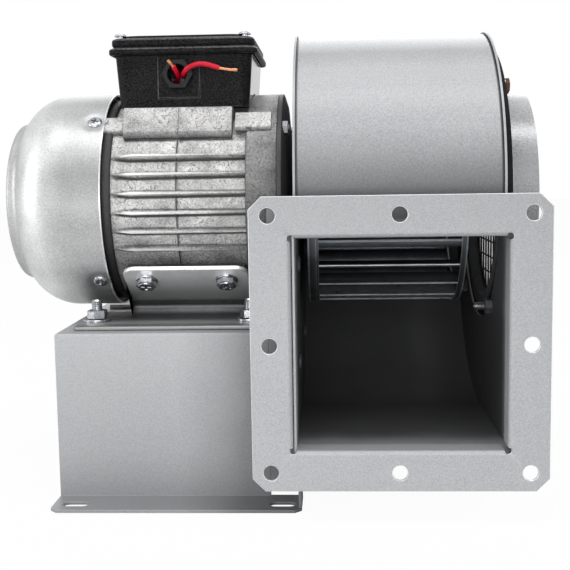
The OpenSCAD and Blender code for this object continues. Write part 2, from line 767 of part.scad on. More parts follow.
// Ball bearings: grooved rings, balls, and cages with a pocket for each ball
module bearing_ring(x, r0, r1) {
    color("#c8ccd0") turned() difference() {
        ring_2d(r0, r1, x, x + bearing_w);
        translate([pitch_r, x + bearing_w / 2]) circle(r = ball_r + ball_fit);
    }
}
module drive_bearing_outer() { bearing_ring(drive_bearing_x, pitch_r + race_gap, bearing_r); }
module rear_bearing_outer() { bearing_ring(rear_bearing_x, pitch_r + race_gap, bearing_r); }
module drive_bearing_inner() { bearing_ring(drive_bearing_x, seat_r + fit / 5, pitch_r - race_gap); }
module rear_bearing_inner() { bearing_ring(rear_bearing_x, seat_r + fit / 5, pitch_r - race_gap); }
ball_angles = [for (k = [0:ball_count - 1]) k * 360 / ball_count];
module bearing_balls() {
    color("#d4d8dc") for (x = [drive_bearing_x, rear_bearing_x])
        translate([x + bearing_w / 2, 0, 0]) round_axis(pitch_r, ball_angles) sphere(r = ball_r);
}
module bearing_cages() {
    cage_w = 2 * ball_r + 1.6;
    cage_r = race_gap - 0.8;
    color("#b08d4a") for (x = [drive_bearing_x, rear_bearing_x]) translate([x + bearing_w / 2, 0, 0])
    difference() {
        turned() ring_2d(pitch_r - cage_r, pitch_r + cage_r, -cage_w / 2, cage_w / 2);
        for (a = ball_angles) translate([0, 0, axis_z]) rotate([a - 90, 0, 0])
            translate([0, 0, pitch_r - ball_r]) bar(ball_r + ball_fit, 2 * ball_r);
    }
}
module wave_washer() {
    color("#9aa0a6") turned()
        ring_2d(pitch_r + race_gap, bearing_r - fit, rear_bearing_x - wave_t, rear_bearing_x);
}

// Shaft with stepped seats and a keyway under the hub
key_x0 = impeller_x0 + 4;
fan_x1 = rear_bearing_x - 8;
fan_l = 28;
fan_seat_r = shaft_r - 2;
module key_block(gap) {
    translate([key_x0 - gap, -key_w / 2 - gap, axis_z + shaft_r - key_w / 2])
        cube([key_l + 2 * gap, key_w + 2 * gap, key_w]);
}
module motor_shaft() {
    color("#a7abb0") difference() {
        turned() polygon([[0, fan_x1 - fan_l - 4], [fan_seat_r, fan_x1 - fan_l - 4], [fan_seat_r, fan_x1],
            [seat_r, fan_x1], [seat_r, rear_bearing_x + bearing_w], [core_shaft_r, rear_bearing_x + bearing_w],
            [core_shaft_r, drive_bearing_x], [seat_r, drive_bearing_x], [seat_r, drive_bearing_x + bearing_w],
            [shaft_r, drive_bearing_x + bearing_w], [shaft_r, shaft_x1], [0, shaft_x1]]);
        key_block(0);
        translate([shaft_x1 - 16, 0, axis_z]) to_x() bar(m6_r + fit, 17);
        turned() ring_2d(fan_seat_r - 1, fan_seat_r + 1, fan_x1 - fan_l - 1.5, fan_x1 - fan_l);
    }
}
module shaft_key() { color("#8d9297") key_block(0); }
module rotor_core() {
    ring_l = 6;
    color("#6d7278") turned() {
        ring_2d(core_shaft_r + fit / 5, stator_bore_r - air_gap, core_x0, core_x1);
        ring_2d(stator_bore_r - 14, stator_bore_r - 3, core_x0 - ring_l, core_x1 + ring_l);
    }
}

// Cooling fan: disc, hub and radial blades, held by a clip on the shaft
module cooling_fan() {
    disc_t = 2.5;
    blade_t = 2.4;
    hub = 14;
    color("#2e2f31") difference() {
        union() {
            turned() ring_2d(fan_seat_r - over, hub, fan_x1 - fan_l, fan_x1);
            turned() ring_2d(fan_seat_r - over, cooling_fan_r - 4, fan_x1 - disc_t, fan_x1);
            for (k = [0:blade_count - 1]) translate([0, 0, axis_z]) rotate([k * 360 / blade_count, 0, 0])
                translate([fan_x1 - fan_l + 4, -blade_t / 2, hub - 2])
                    cube([fan_l - 4 - disc_t / 2, blade_t, cooling_fan_r - hub + 2]);
        }
        turned() ring_2d(0, fan_seat_r + fit / 5, fan_x1 - fan_l - over, fan_x1 + over);
    }
}
module fan_clip() {
    color("#7f858b") difference() {
        turned() ring_2d(fan_seat_r - 1 + fit, fan_seat_r + 3, fan_x1 - fan_l - 1.4, fan_x1 - fan_l - 0.1);
        translate([fan_x1 - fan_l - 2, -2, axis_z]) cube([3, 4, 2 * fan_seat_r]);
    }
}

// Fan cowl: drawn cap with a large corner radius, a raised end disc and vent holes
module cowl_profile(inset) {
    r = cowl_d / 2 - inset;
    arc_x = cowl_x0 + cowl_disc_h + cowl_corner_r - 2;
    edge_r = 3;
    ring_2d(0, r, arc_x, cowl_x1);
    ring_2d(0, cowl_d / 2 - cowl_corner_r, arc_x - cowl_corner_r + inset, arc_x);
    intersection() {
        translate([cowl_d / 2 - cowl_corner_r, arc_x]) circle(r = cowl_corner_r - inset);
        ring_2d(0, r, cowl_x0, arc_x);
    }
    ring_2d(0, cowl_disc_r - inset, cowl_x0 + edge_r, arc_x);
    ring_2d(0, cowl_disc_r - edge_r, cowl_x0 + inset, arc_x);
    translate([cowl_disc_r - edge_r, cowl_x0 + edge_r]) circle(r = edge_r - inset);
}
module cowl_screw_places() {
    for (a = [cowl_screw_angle, 180 - cowl_screw_angle, -cowl_screw_angle, cowl_screw_angle - 180])
        translate([cowl_screw_x, 0, axis_z]) rotate([a - 90, 0, 0]) translate([0, 0, cowl_in_r]) children();
}
module fan_cowl() {
    vent_r = 3;
    color("#b3b6b9") difference() {
        turned() difference() {
            cowl_profile(0);
            cowl_profile(cowl_t);
            ring_2d(0, cowl_d / 2 - cowl_t, cowl_x1 - over, cowl_x1 + over);
        }
        for (ring = [[1, 8], [5 / 3, 14], [7 / 3, 20]]) translate([cowl_x0 - over, 0, 0])
            round_axis(ring[0] * cowl_disc_r / 3, [for (k = [0:ring[1] - 1]) k * 360 / ring[1]])
                bar(vent_r, cowl_t + 2 * over);
        cowl_screw_places() translate([0, 0, -over]) bar(pan_r + screw_fit, cowl_t + 2 * over);
    }
}
module cowl_screws() {
    head_lift = 0.2;
    color("#c4c8cc") cowl_screw_places() {
        translate([0, 0, cowl_t + head_lift]) bar(pan_head * pan_r, pan_head_h);
        translate([0, 0, -cowl_rim - over]) bar(pan_r, cowl_rim + over + cowl_t + 2 * head_lift);
    }
}

// Terminal box: flared plastic tub with a flat pad round the cable entry
module box_shape(l, w, h, flare, corner) {
    hull() corners(l - 2 * corner, w - 2 * corner) {
        cylinder(r = corner, h = 0.1, $fn = 32);
        translate([0, 0, h - 0.1]) cylinder(r = corner + flare, h = 0.1, $fn = 32);
    }
}
module terminal_box_body() {
    pad_w = 27;
    color("#1c1d1f") translate([pad_x, 0, box_z]) difference() {
        union() {
            box_shape(box_l, box_w, box_h, box_flare, box_corner);
            translate([gland_x - pad_w / 2, gland_y, 6]) cube([pad_w, 8, box_h - 6]);
        }
        translate([0, 0, box_wall]) box_shape(box_l - 2 * box_wall, box_w - 2 * box_wall, box_h, box_flare,
            box_corner - box_wall / 2);
        translate([gland_x, gland_y - over, gland_up]) rotate([-90, 0, 0]) bar(gland_bore / 2 + gland_wall, 12);
        translate([-pad_x, 0, -box_z]) turned() {
            ring_2d(0, crown_r + fit, fin_x0, fin_x1);
            ring_2d(0, drive_ring_r + fit, fin_x1 - fit, frame_x1);
        }
    }
}
module lid_gasket() {
    l = box_l + 2 * box_flare;
    w = box_w + 2 * box_flare;
    color("#303234") translate([pad_x, 0, box_z + box_h]) linear_extrude(gasket_t) difference() {
        square([l - 2, w - 2], center = true);
        square([l - 2 * box_wall, w - 2 * box_wall], center = true);
    }
}
lid_screw_x = box_l + 2 * box_flare - 9;
lid_screw_y = box_w + 2 * box_flare - 9;
module terminal_box_lid() {
    l = box_l + 2 * (box_flare + lid_overhang);
    w = box_w + 2 * (box_flare + lid_overhang);
    skirt = 1;
    lid_land = 8;
    color("#1c1d1f") translate([pad_x, 0, lid_z]) difference() {
        union() {
            box_shape(l, w, lid_h, -1.5, box_corner + 2);
            translate([0, 0, -skirt]) box_shape(l, w, skirt + 1, 0, box_corner + 2);
        }
        translate([0, 0, -skirt - over]) box_shape(l - 2 * lid_t, w - 2 * lid_t, skirt + over, 0, box_corner);
        translate([0, 0, -over])
            box_shape(l - 2 * lid_land, w - 2 * lid_land, lid_h - lid_t + over, -1, box_corner);
        translate([0, 0, -over]) corners(lid_screw_x, lid_screw_y) bar(pan_r + screw_fit, lid_h + 2 * over);
    }
}
module lid_screws() {
    color("#c4c8cc") translate([pad_x, 0, lid_z + lid_h]) corners(lid_screw_x, lid_screw_y) {
        bar(pan_head * pan_r, pan_head_h);
        translate([0, 0, -lid_h]) bar(pan_r, lid_h + pan_head_h / 2);
    }
}
module gland_ring() {
    color("#3a3c3f") translate([pad_x + gland_x, gland_y, gland_z]) rotate([90, 0, 0]) difference() {
        union() {
            hex(gland_flats, gland_l);
            translate([0, 0, -gland_tail]) bar(gland_bore / 2 + gland_wall - fit, gland_tail + over);
        }
        translate([0, 0, -gland_tail - over]) bar(gland_bore / 2, gland_tail + gland_l + 2 * over);
    }
}

// Terminal block and run capacitor in the box
module terminal_block() {
    seat_z = axis_z + sqrt(pow(crown_r, 2) - pow(block_y + block_size[1], 2)) + fit;
    color("#d9d5c8") translate([pad_x + block_x, block_y, seat_z]) difference() {
        cube(block_size);
        for (k = [-1:1]) translate([block_size[0] / 2 + k * block_pitch, block_size[1] / 2, block_size[2] / 2])
            bar(block_screw_r, block_size[2]);
    }
}
module run_capacitor() {
    rise = sqrt(pow(crown_r + fit + capacitor_r, 2) - pow(capacitor_y, 2));
    color("#e4e4e0") translate([pad_x + capacitor_x, capacitor_y, axis_z + rise]) to_x()
        bar(capacitor_r, capacitor_l);
}

// Leads
module lead_long() { color("#b3242a") lead_tube(lead_long_route, lead_d); }
module lead_long_copper() { color("#b87a4b") lead_tube(lead_long_end, copper_d); }
module lead_short() { color("#b3242a") lead_tube(lead_short_route, lead_d); }
module lead_short_copper() { color("#b87a4b") lead_tube(lead_short_end, copper_d); }

// Quarter of a circle about the centre of a spiral arc
module arc_quarter(arc, r) {
    translate([arc[0], arc[1]]) rotate(arc[3]) intersection() {
        circle(r = r);
        square(r);
    }
}

// Outline of the casing seen along the shaft, grown by a margin
module casing_outline(grow) {
    for (arc = spiral) arc_quarter(arc, arc[2] + grow);
    translate([-scroll_front - grow, duct_top]) square([arc_1[0] + scroll_front + grow, arc_1[1] - duct_top]);
    translate([-duct_y, -scroll_bottom - grow]) square([duct_y + arc_3[0], duct_h + 2 * grow]);
    translate([min(arc_1[0], arc_3[0]), arc_2[1]]) square([abs(arc_1[0] - arc_3[0]), abs(arc_1[1] - arc_2[1])]);
}
inlet_screw_angles = [inlet_screw_angle, 180 - inlet_screw_angle, -inlet_screw_angle, inlet_screw_angle - 180];
module side_plate_screw_holes() {
    round_axis(inlet_screw_r, inlet_screw_angles) bar(m6_r + screw_fit, scroll_t + 2 * over);
}
module scroll_motor_side_plate() {
    color("#b2b5b7") difference() {
        along_x(side_x0, scroll_x) casing_outline(scroll_t + side_rim);
        translate([side_x0 - over, 0, axis_z]) to_x() bar(shaft_hole_r, scroll_t + 2 * over);
        for (p = support_bolts) translate([side_x0 - over, p[0], axis_z + p[1]]) to_x()
            bar(m6_r + screw_fit, scroll_t + 2 * over);
    }
}
module scroll_inlet_side_plate() {
    color("#b2b5b7") difference() {
        along_x(scroll_x1, side_x1) casing_outline(scroll_t + side_rim);
        translate([scroll_x1 - over, 0, axis_z]) to_x() bar(wheel_hole_r, scroll_t + 2 * over);
        translate([scroll_x1 - over, 0, 0]) side_plate_screw_holes();
    }
}

// Scroll band: one sheet from the outlet over the tongue and round the spiral to the duct floor
module band_outline(t) {
    tongue_y = -scroll_front - tongue_r;
    tongue_z = duct_top + tongue_r;
    for (arc = spiral) difference() {
        arc_quarter(arc, arc[2] + t);
        translate([arc[0], arc[1]]) circle(r = arc[2]);
    }
    translate([-duct_y, -scroll_bottom - t]) square([duct_y + arc_3[0], t]);
    translate([-scroll_front - t, tongue_z]) square([t, arc_1[1] - tongue_z]);
    translate([-duct_y, duct_top]) square([duct_y + tongue_y, t]);
    translate([tongue_y, tongue_z]) rotate(-90) difference() {
        intersection() {
            circle(r = tongue_r);
            square(tongue_r);
        }
        circle(r = tongue_r - t);
    }
}
module scroll_band() {
    color("#b2b5b7") {
        along_x(scroll_x, scroll_x1) band_outline(scroll_t - seam_h);
        along_x(scroll_x + seam_w, scroll_x1 - seam_w) band_outline(scroll_t);
    }
}

// Outlet flange: square sheet frame with eight holes, its inner edges bent back into the duct
module flange_square(size, chamfer) {
    h = size / 2;
    c = h - chamfer;
    polygon([[-h, -c], [-c, -h], [c, -h], [h, -c], [h, c], [c, h], [-c, h], [-h, c]]);
}
module flange_holes() {
    for (i = [-1:1], j = [-1:1]) if (i != 0 || j != 0)
        translate([i * flange_pitch / 2, j * flange_pitch / 2, -over])
            bar(flange_hole_d / 2, flange_t + 2 * over);
}

// Bent lip along one side of the opening: bend and straight, from the face backwards
module flange_bend(reach, half_l) {
    rotate([0, -90, 0]) translate([0, 0, -half_l]) linear_extrude(2 * half_l) {
        translate([flange_bend_r, reach + flange_bend_r]) rotate(180) difference() {
            intersection() {
                circle(r = flange_bend_r);
                square(flange_bend_r);
            }
            circle(r = flange_bend_r - flange_t);
        }
        translate([flange_bend_r, reach]) square([flange_lip - flange_bend_r, flange_t]);
    }
}
module outlet_flange() {
    open_x = flange_open / 2;
    open_z = duct_h / 2 - flange_t - fit;
    window = 2 * flange_bend_r;
    color("#bcbfc1") translate([flange_x, -flange_y, flange_z]) rotate([-90, 0, 0]) {
        difference() {
            linear_extrude(flange_t) difference() {
                flange_square(flange_size, flange_chamfer);
                square([2 * open_x, 2 * open_z], center = true);
                square([2 * open_x + window, 2 * open_z - 2 * relief_r], center = true);
                square([2 * open_x - 2 * relief_r, 2 * open_z + window], center = true);
                for (x = [-open_x, open_x], z = [-open_z, open_z]) translate([x, z]) circle(r = relief_r);
            }
            flange_holes();
        }
        for (turn = [0, 180]) rotate(turn) flange_bend(open_z, open_x - relief_r);
        for (turn = [90, 270]) rotate(turn) flange_bend(open_x, open_z - relief_r);
    }
}

// Inlet: black ring plate, collar with a lip behind the ring, wire guard in the collar
ring_x1 = side_x1 + inlet_ring_t;
collar_r = collar_d / 2;
module inlet_ring() {
    color("#17181a") difference() {
        turned() ring_2d(collar_r + fit, inlet_ring_d / 2, side_x1, ring_x1);
        translate([side_x1 - over, 0, 0]) round_axis(inlet_screw_r, inlet_screw_angles)
            bar(m6_r + screw_fit, inlet_ring_t + 2 * over);
    }
}
module inlet_collar() {
    bead_x = ring_x1 + 4;
    bead_r = 2;
    color("#b7babc") turned() {
        intersection() {
            translate([collar_r + collar_bead - bead_r, bead_x]) circle(r = bead_r);
            ring_2d(collar_r - collar_t, collar_r + bead_r, bead_x - bead_r, bead_x + bead_r);
        }
        ring_2d(collar_r - collar_t, collar_r, side_x1 - collar_t, ring_x1 + collar_l);
        ring_2d(collar_r - collar_t, collar_r + collar_lip, side_x1 - collar_t, side_x1);
    }
}
inlet_nut_h = 5;
module inlet_ring_screws() {
    head = 4;
    shank = inlet_ring_t + scroll_t + inlet_nut_h + 7;
    color("#8a6f52") translate([ring_x1, 0, 0]) round_axis(inlet_screw_r, inlet_screw_angles) {
        hex(m6_flats, head);
        translate([0, 0, -shank]) bar(m6_r, shank);
    }
}
module inlet_ring_nuts() {
    color("#b9bdc2") translate([scroll_x1 - inlet_nut_h, 0, 0]) round_axis(inlet_screw_r, inlet_screw_angles)
        difference() {
            hex(m6_flats, inlet_nut_h);
            translate([0, 0, -over]) bar(m6_r + fit, inlet_nut_h + 2 * over);
        }
}
module guard_layer(turn) {
    rim_r = collar_r - collar_t - fit;
    count = floor(rim_r / guard_pitch);
    difference() {
        circle(r = rim_r);
        circle(r = rim_r - 2 * guard_wire);
    }
    intersection() {
        circle(r = rim_r - guard_wire);
        rotate(turn) for (k = [-count:count]) translate([-rim_r, k * guard_pitch - guard_wire / 2])
            square([2 * rim_r, guard_wire]);
    }
}
module inlet_guard() {
    guard_x = ring_x1 + 2;
    color("#1a1a1b") {
        along_x(guard_x, guard_x + guard_wire) guard_layer(0);
        along_x(guard_x + guard_wire, guard_x + 2 * guard_wire) guard_layer(90);
    }
}

// Impeller: rimmed back plate, forward-curved vanes, front ring and hub
module impeller_back_plate() {
    color("#9b9ea1") turned() {
        ring_2d(hub_r - 5, impeller_r, impeller_x0, impeller_x0 + impeller_t);
        ring_2d(impeller_r - impeller_t, impeller_r, impeller_x0, impeller_x0 + back_rim);
    }
}
module impeller_front_ring() {
    color("#9b9ea1") turned() {
        ring_2d(vane_inner_r - 1, impeller_r, impeller_x1 - impeller_t, impeller_x1);
        ring_2d(impeller_r - impeller_t, impeller_r, impeller_x1 - front_rim, impeller_x1);
    }
}
function vane_point(f, off) =
    let (r = vane_inner_r + f * (vane_outer_r - vane_inner_r), a = -vane_lean * f * f / 2 + off / r * 180 / PI)
    [r * cos(a), r * sin(a)];
module impeller_vanes() {
    steps = 6;
    outline = concat([for (k = [0:steps]) vane_point(k / steps, 0)],
        [for (k = [steps:-1:0]) vane_point(k / steps, vane_t)]);
    color("#a3a6a9") along_x(impeller_x0 + impeller_t, impeller_x1 - impeller_t)
        for (k = [0:vane_count - 1]) rotate(k * 360 / vane_count) polygon(outline);
}
module impeller_hub() {
    flange_h = 4;
    hub_flange_r = hub_r + 8;
    plate_x = impeller_x0 + impeller_t;
    color("#8b8f94") difference() {
        turned() {
            ring_2d(shaft_r + fit / 5, hub_r - 5 - fit, impeller_x0, impeller_x0 + hub_l);
            ring_2d(shaft_r + fit / 5, hub_flange_r, plate_x, plate_x + flange_h);
        }
        key_block(fit);
    }
}
module hub_screw() {
    washer = 2.5;
    color("#b9bdc2") translate([shaft_x1, 0, axis_z]) to_x() {
        bar(hub_r - 6, washer);
        translate([0, 0, washer]) hex(m6_flats, 4);
        translate([0, 0, -14]) bar(m6_r, 14);
    }
}

pedestal_stand();
scroll_support();
foot_bracket_front();
foot_bracket_rear();
bracket_screws();
foot_bolts();
foot_washers();
foot_nuts();
motor_frame();
stator_core();
stator_winding();
drive_end_shield();
rear_end_shield();
shield_studs();
shield_nuts();
rear_shield_screws();
drive_bearing_outer();
rear_bearing_outer();
drive_bearing_inner();
rear_bearing_inner();
bearing_balls();
bearing_cages();
wave_washer();
motor_shaft();
shaft_key();
rotor_core();
cooling_fan();
fan_clip();
fan_cowl();
cowl_screws();
terminal_box_body();
terminal_box_lid();
lid_gasket();
lid_screws();
gland_ring();
terminal_block();
run_capacitor();
lead_long();
lead_long_copper();
lead_short();
lead_short_copper();
scroll_motor_side_plate();
scroll_inlet_side_plate();
scroll_band();
scroll_support_bolts();
outlet_flange();
inlet_ring();
inlet_ring_screws();
inlet_ring_nuts();
inlet_collar();
inlet_guard();
impeller_back_plate();
impeller_vanes();
impeller_front_ring();
impeller_hub();
hub_screw();
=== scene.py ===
import math

import bmesh
import bpy
from mathutils import Matrix, Vector, noise


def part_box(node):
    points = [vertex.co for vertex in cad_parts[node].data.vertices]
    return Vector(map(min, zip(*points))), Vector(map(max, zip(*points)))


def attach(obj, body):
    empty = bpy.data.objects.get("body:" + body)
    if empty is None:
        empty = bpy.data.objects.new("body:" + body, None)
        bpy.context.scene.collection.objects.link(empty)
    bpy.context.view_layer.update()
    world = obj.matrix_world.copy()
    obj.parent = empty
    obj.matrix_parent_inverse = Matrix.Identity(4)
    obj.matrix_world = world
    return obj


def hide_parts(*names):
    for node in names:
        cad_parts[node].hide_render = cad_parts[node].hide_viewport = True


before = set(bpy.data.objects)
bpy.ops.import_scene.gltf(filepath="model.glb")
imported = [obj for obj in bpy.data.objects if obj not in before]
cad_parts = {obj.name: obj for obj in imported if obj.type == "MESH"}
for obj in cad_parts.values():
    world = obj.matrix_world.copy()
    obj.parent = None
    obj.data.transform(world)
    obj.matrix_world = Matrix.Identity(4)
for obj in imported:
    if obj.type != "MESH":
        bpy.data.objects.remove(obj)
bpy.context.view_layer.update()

# Pedestal and scroll support. Two folded steel sheets under a silver-grey textured powder coat: the
# pedestal is an inverted U with slotted lips, and the channel at its end carries the scroll. The
# folds are round, as a press brake leaves them.
MM = 0.001
AXIS = 186  # height of the shaft, mm
SHEET_HALF = 95  # from the middle to the outer face of either sheet's walls, mm
STAND_TOP = 106  # mm
SUPPORT_FACE = 72.5  # where the channel meets the scroll, mm
CLOSE = 0.01  # mm


def feed(tree, node, inputs):
    """Fills a node's inputs: an output, or a node for its first output, is linked, and anything else set as a value."""
    for key, value in inputs.items():
        value = value.outputs[0] if isinstance(value, bpy.types.Node) else value
        if isinstance(value, bpy.types.NodeSocket):
            tree.links.new(value, node.inputs[key])
        else:
            node.inputs[key].default_value = value
    return node


def add(tree, kind, inputs=None, **settings):
    """New node in a tree, with its settings and inputs."""
    node = tree.nodes.new(kind)
    for name, value in settings.items():
        setattr(node, name, value)
    return feed(tree, node, inputs or {})


def maths(tree, operation, *values):
    """New maths node."""
    return add(tree, "ShaderNodeMath", dict(enumerate(values)), operation=operation)


def ranged(tree, value, low, high, to_low=0.0, to_high=1.0):
    """New node that maps a value from one range to another."""
    return add(tree, "ShaderNodeMapRange", {"Value": value, "From Min": low, "From Max": high, "To Min": to_low,
                                            "To Max": to_high})


def mixed(tree, share, first, second, blend="MIX"):
    """Output of a new node that mixes two colours."""
    return add(tree, "ShaderNodeMix", {0: share, 6: first, 7: second}, data_type="RGBA", blend_type=blend).outputs[2]


def grained(name, dark, light, grain, rough, metallic=0.0, relief=0.1, patch=0.04, patch_share=0.4,
            spread=0.16, depth=0.0002, sheen=0.5):
    """A finish whose colour, gloss and relief vary with a fine grain and with broad patches."""
    finish = bpy.data.materials.new(name)
    finish.use_nodes = True
    tree = finish.node_tree
    place = add(tree, "ShaderNodeTexCoord").outputs["Object"]
    fine = add(tree, "ShaderNodeTexNoise", {"Vector": place, "Scale": 1 / grain, "Detail": 3})
    broad = add(tree, "ShaderNodeTexNoise", {"Vector": place, "Scale": 1 / patch, "Detail": 5}, name="broad patches")
    both = add(tree, "ShaderNodeMix", {0: patch_share, 2: fine, 3: broad})
    tones = add(tree, "ShaderNodeValToRGB", {"Fac": both}, name="tones")
    for end, (at, colour) in enumerate(((0.5 - spread, dark), (0.5 + spread, light))):
        tones.color_ramp.elements[end].position = at
        tones.color_ramp.elements[end].color = (*colour, 1)
    bump = add(tree, "ShaderNodeBump", {"Height": fine, "Strength": relief, "Distance": depth})
    feed(tree, tree.nodes["Principled BSDF"],
         {"Base Color": tones, "Roughness": ranged(tree, both, 0.3, 0.7, *rough), "Metallic": metallic,
          "Specular IOR Level": sheen, "Normal": bump})
    return finish


def shade_along(finish, axis, stops, uneven=0.0, only=None):
    """Multiplies a finish's colour by a grey that runs along an axis; stops are (mm, grey), uneven is in mm.
    With only, an axis and two places on it in mm, the shade fades out from the first place to the second."""
    tree = finish.node_tree
    place = add(tree, "ShaderNodeTexCoord").outputs["Object"]
    split = add(tree, "ShaderNodeSeparateXYZ", {"Vector": place}).outputs
    at = split[axis]
    if uneven:
        cloud = add(tree, "ShaderNodeTexNoise", {"Vector": place, "Scale": 22, "Detail": 2})
        at = maths(tree, "ADD", at, maths(tree, "MULTIPLY_ADD", cloud, 2 * uneven * MM, -uneven * MM))
    low, high = stops[0][0], stops[-1][0]
    greys = add(tree, "ShaderNodeValToRGB", {"Fac": ranged(tree, at, low * MM, high * MM)})
    ramp = greys.color_ramp.elements
    for spot, grey in stops[1:-1]:
        ramp.new((spot - low) / (high - low)).color = (grey, grey, grey, 1)
    for end in (0, -1):
        ramp[end].color = (*[stops[end][1]] * 3, 1)
    strength = ranged(tree, split[only[0]], only[1] * MM, only[2] * MM, 1.0, 0.0) if only else 1.0
    colour = tree.nodes["Principled BSDF"].inputs["Base Color"]
    shaded = mixed(tree, strength, colour.links[0].from_socket, greys, "MULTIPLY")
    tree.links.new(shaded, colour)


def cad_shape(node):
    """The shape of a CAD node with its loose triangles merged."""
    shape = bmesh.new()
    shape.from_mesh(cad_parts[node].data)
    bmesh.ops.remove_doubles(shape, verts=shape.verts, dist=2e-6)
    return shape


def bend(shape, radius, on_line):
    """Rounds the sharp edges whose two ends lie on a fold line to a radius in mm."""
    edges = [e for e in shape.edges if e.calc_face_angle(0) > 0.5 and all(on_line(v.co / MM) for v in e.verts)]
    bmesh.ops.bevel(shape, geom=edges, offset=radius * MM, segments=5, profile=0.5, affect="EDGES",
                    clamp_overlap=True)


def as_mesh(name, shape):
    """Mesh of a shape, which is freed."""
    mesh = bpy.data.meshes.new(name)
    shape.to_mesh(mesh)
    shape.free()
    return mesh


def enter(name, data, nodes=(), body="housing"):
    """Makes data a piece of the model, on its body and in place of its CAD nodes."""
    piece = bpy.data.objects.new(name, data)
    bpy.context.scene.collection.objects.link(piece)
    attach(piece, body)
    if nodes:
        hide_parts(*nodes)
    return piece


def fit_piece(name, shape, finishes, nodes=(), edge=0.0, turn=40, edge_finish=-1, body="housing"):
    """Makes a shape a piece of the model; edges that turn by more degrees are eased by edge, in mm, or left sharp."""
    mesh = as_mesh(name, shape)
    mesh.shade_smooth()
    for finish in finishes:
        mesh.materials.append(finish)
    piece = enter(name, mesh, nodes, body)
    if not edge:
        mesh.set_sharp_from_angle(angle=math.radians(turn))
        return piece
    ease = piece.modifiers.new("eased edges", "BEVEL")
    ease.width = edge * MM
    ease.segments = 2
    ease.limit_method = "ANGLE"
    ease.angle_limit = math.radians(turn)
    ease.use_clamp_overlap = False
    ease.loop_slide = False
    ease.material = edge_finish
    piece.modifiers.new("level flats", "WEIGHTED_NORMAL").weight = 100
    return piece


powder_coat = grained("silver powder coat", (0.308, 0.314, 0.325), (0.422, 0.429, 0.442), 0.0007, (0.38, 0.5),
                      metallic=0.15, relief=0.4, patch=0.06, patch_share=0.1, spread=0.2)
stand_coat = powder_coat.copy()
stand_coat.name = "silver powder coat of the stand"
# Painted shade: the stand's coat darkens towards its right, where the flange shades it, and towards the floor.
shade_along(stand_coat, "X", [(-80, 1), (0, 1), (25, 0.8), (41, 0.58), (60, 0.5)], 10)
shade_along(stand_coat, "Z", [(0, 0.7), (30, 0.88), (100, 1)], 6)
shape = cad_shape("pedestal_stand")
bend(shape, 1.6, lambda p: abs(abs(p.y) - SHEET_HALF) < CLOSE and p.z > STAND_TOP - 0.1)
fit_piece("pedestal", shape, [stand_coat], ["pedestal_stand"], edge=0.35)
shape = cad_shape("scroll_support")
bend(shape, 2.5, lambda p: abs(abs(p.y) - SHEET_HALF) < CLOSE and abs(p.x - SUPPORT_FACE) < CLOSE)
fit_piece("support_channel", shape, [stand_coat], ["scroll_support"], edge=0.3)

# Fixings of the scroll on its support. Low round-head bolts pass from inside the casing through its plate
# and the channel, with a hexagon nut behind each.
HEAD_TURNS = 48  # points round a recessed screw head
PLATE_FACE = 74  # inside of the casing's plate, mm
SUPPORT_BOLTS = [(-70, -40), (70, -40), (-60, -105), (60, -105)]  # (y, z) from the shaft, mm


def polar(radius, degrees):
    """Point of a circle, as its two coordinates."""
    return radius * math.cos(math.radians(degrees)), radius * math.sin(math.radians(degrees))


def circle(shape, radius, z, turns):
    """Ring of points about Z."""
    return [shape.verts.new((*polar(radius, 360 * k / turns), z)) for k in range(turns)]


def skin(shape, rings, capped=True):
    """Faces between each ring of points and the next, and over both ends."""
    for a, b in zip(rings, rings[1:]):
        for k in range(len(a)):
            shape.faces.new((a[k - 1], a[k], b[k], b[k - 1]))
    if capped:
        shape.faces.new(rings[0][::-1])
        shape.faces.new(rings[-1])


def turn_outwards(shape):
    """Makes all faces of a shape look out of it."""
    bmesh.ops.recalc_face_normals(shape, faces=shape.faces)


def hex_solid(shape, flats, low, high, chamfer):
    """Hexagon with chamfered ends along +Z."""
    reach, slope = flats / math.sqrt(3), chamfer * 0.6
    skin(shape, [circle(shape, reach - cut, z, 6) for z, cut in
                 ((low, chamfer), (low + slope, 0), (high - slope, 0), (high, chamfer))])
    return shape


def round_solid(shape, profile, turns=32):
    """Solid of revolution about Z from a profile of (radius, z), closed at both ends."""
    skin(shape, [circle(shape, r, z, turns) for r, z in profile])
    return shape


def threaded(radius, low, high, pitch):
    """Profile of a threaded stem with a chamfered end."""
    profile = [(radius * 0.82, low), (radius * 0.82, low + 0.2 * pitch)]
    for k in range(max(1, int((high - low) / pitch) - 1)):
        z = low + (k + 0.3) * pitch
        profile += [(radius, z + 0.25 * pitch), (radius, z + 0.4 * pitch), (radius * 0.86, z + 0.75 * pitch)]
    return profile + [(radius, high - pitch * 0.7), (radius * 0.8, high)]


def cross_recess(shape, radius, top, width, depth):
    """Round top face with a cross-shaped recess in it, as its rim."""
    rim = circle(shape, radius, top, HEAD_TURNS)
    arm = radius * 0.72
    cross = [Matrix.Rotation(k * math.pi / 2, 2) @ Vector(p) for k in range(4)
             for p in ((arm, -width), (arm, width), (width, width))]
    upper = [shape.verts.new((*p, top)) for p in cross]
    lower = [shape.verts.new((*p * 0.75, top - depth)) for p in cross]
    loops = [shape.edges.new((ring[k - 1], ring[k])) for ring in (rim, upper) for k in range(len(ring))]
    bmesh.ops.triangle_fill(shape, use_beauty=True, edges=loops, normal=(0, 0, 1))
    skin(shape, [upper, lower], capped=False)
    shape.faces.new(lower)
    return rim


def geometry_tree(name, **sockets):
    """New geometry node tree and its inputs, given as name=kind."""
    tree = bpy.data.node_groups.new(name, "GeometryNodeTree")
    for socket, kind in sockets.items():
        tree.interface.new_socket(socket, in_out="INPUT", socket_type="NodeSocket" + kind)
    tree.interface.new_socket("Made", in_out="OUTPUT", socket_type="NodeSocketGeometry")
    return tree, tree.nodes.new("NodeGroupInput").outputs


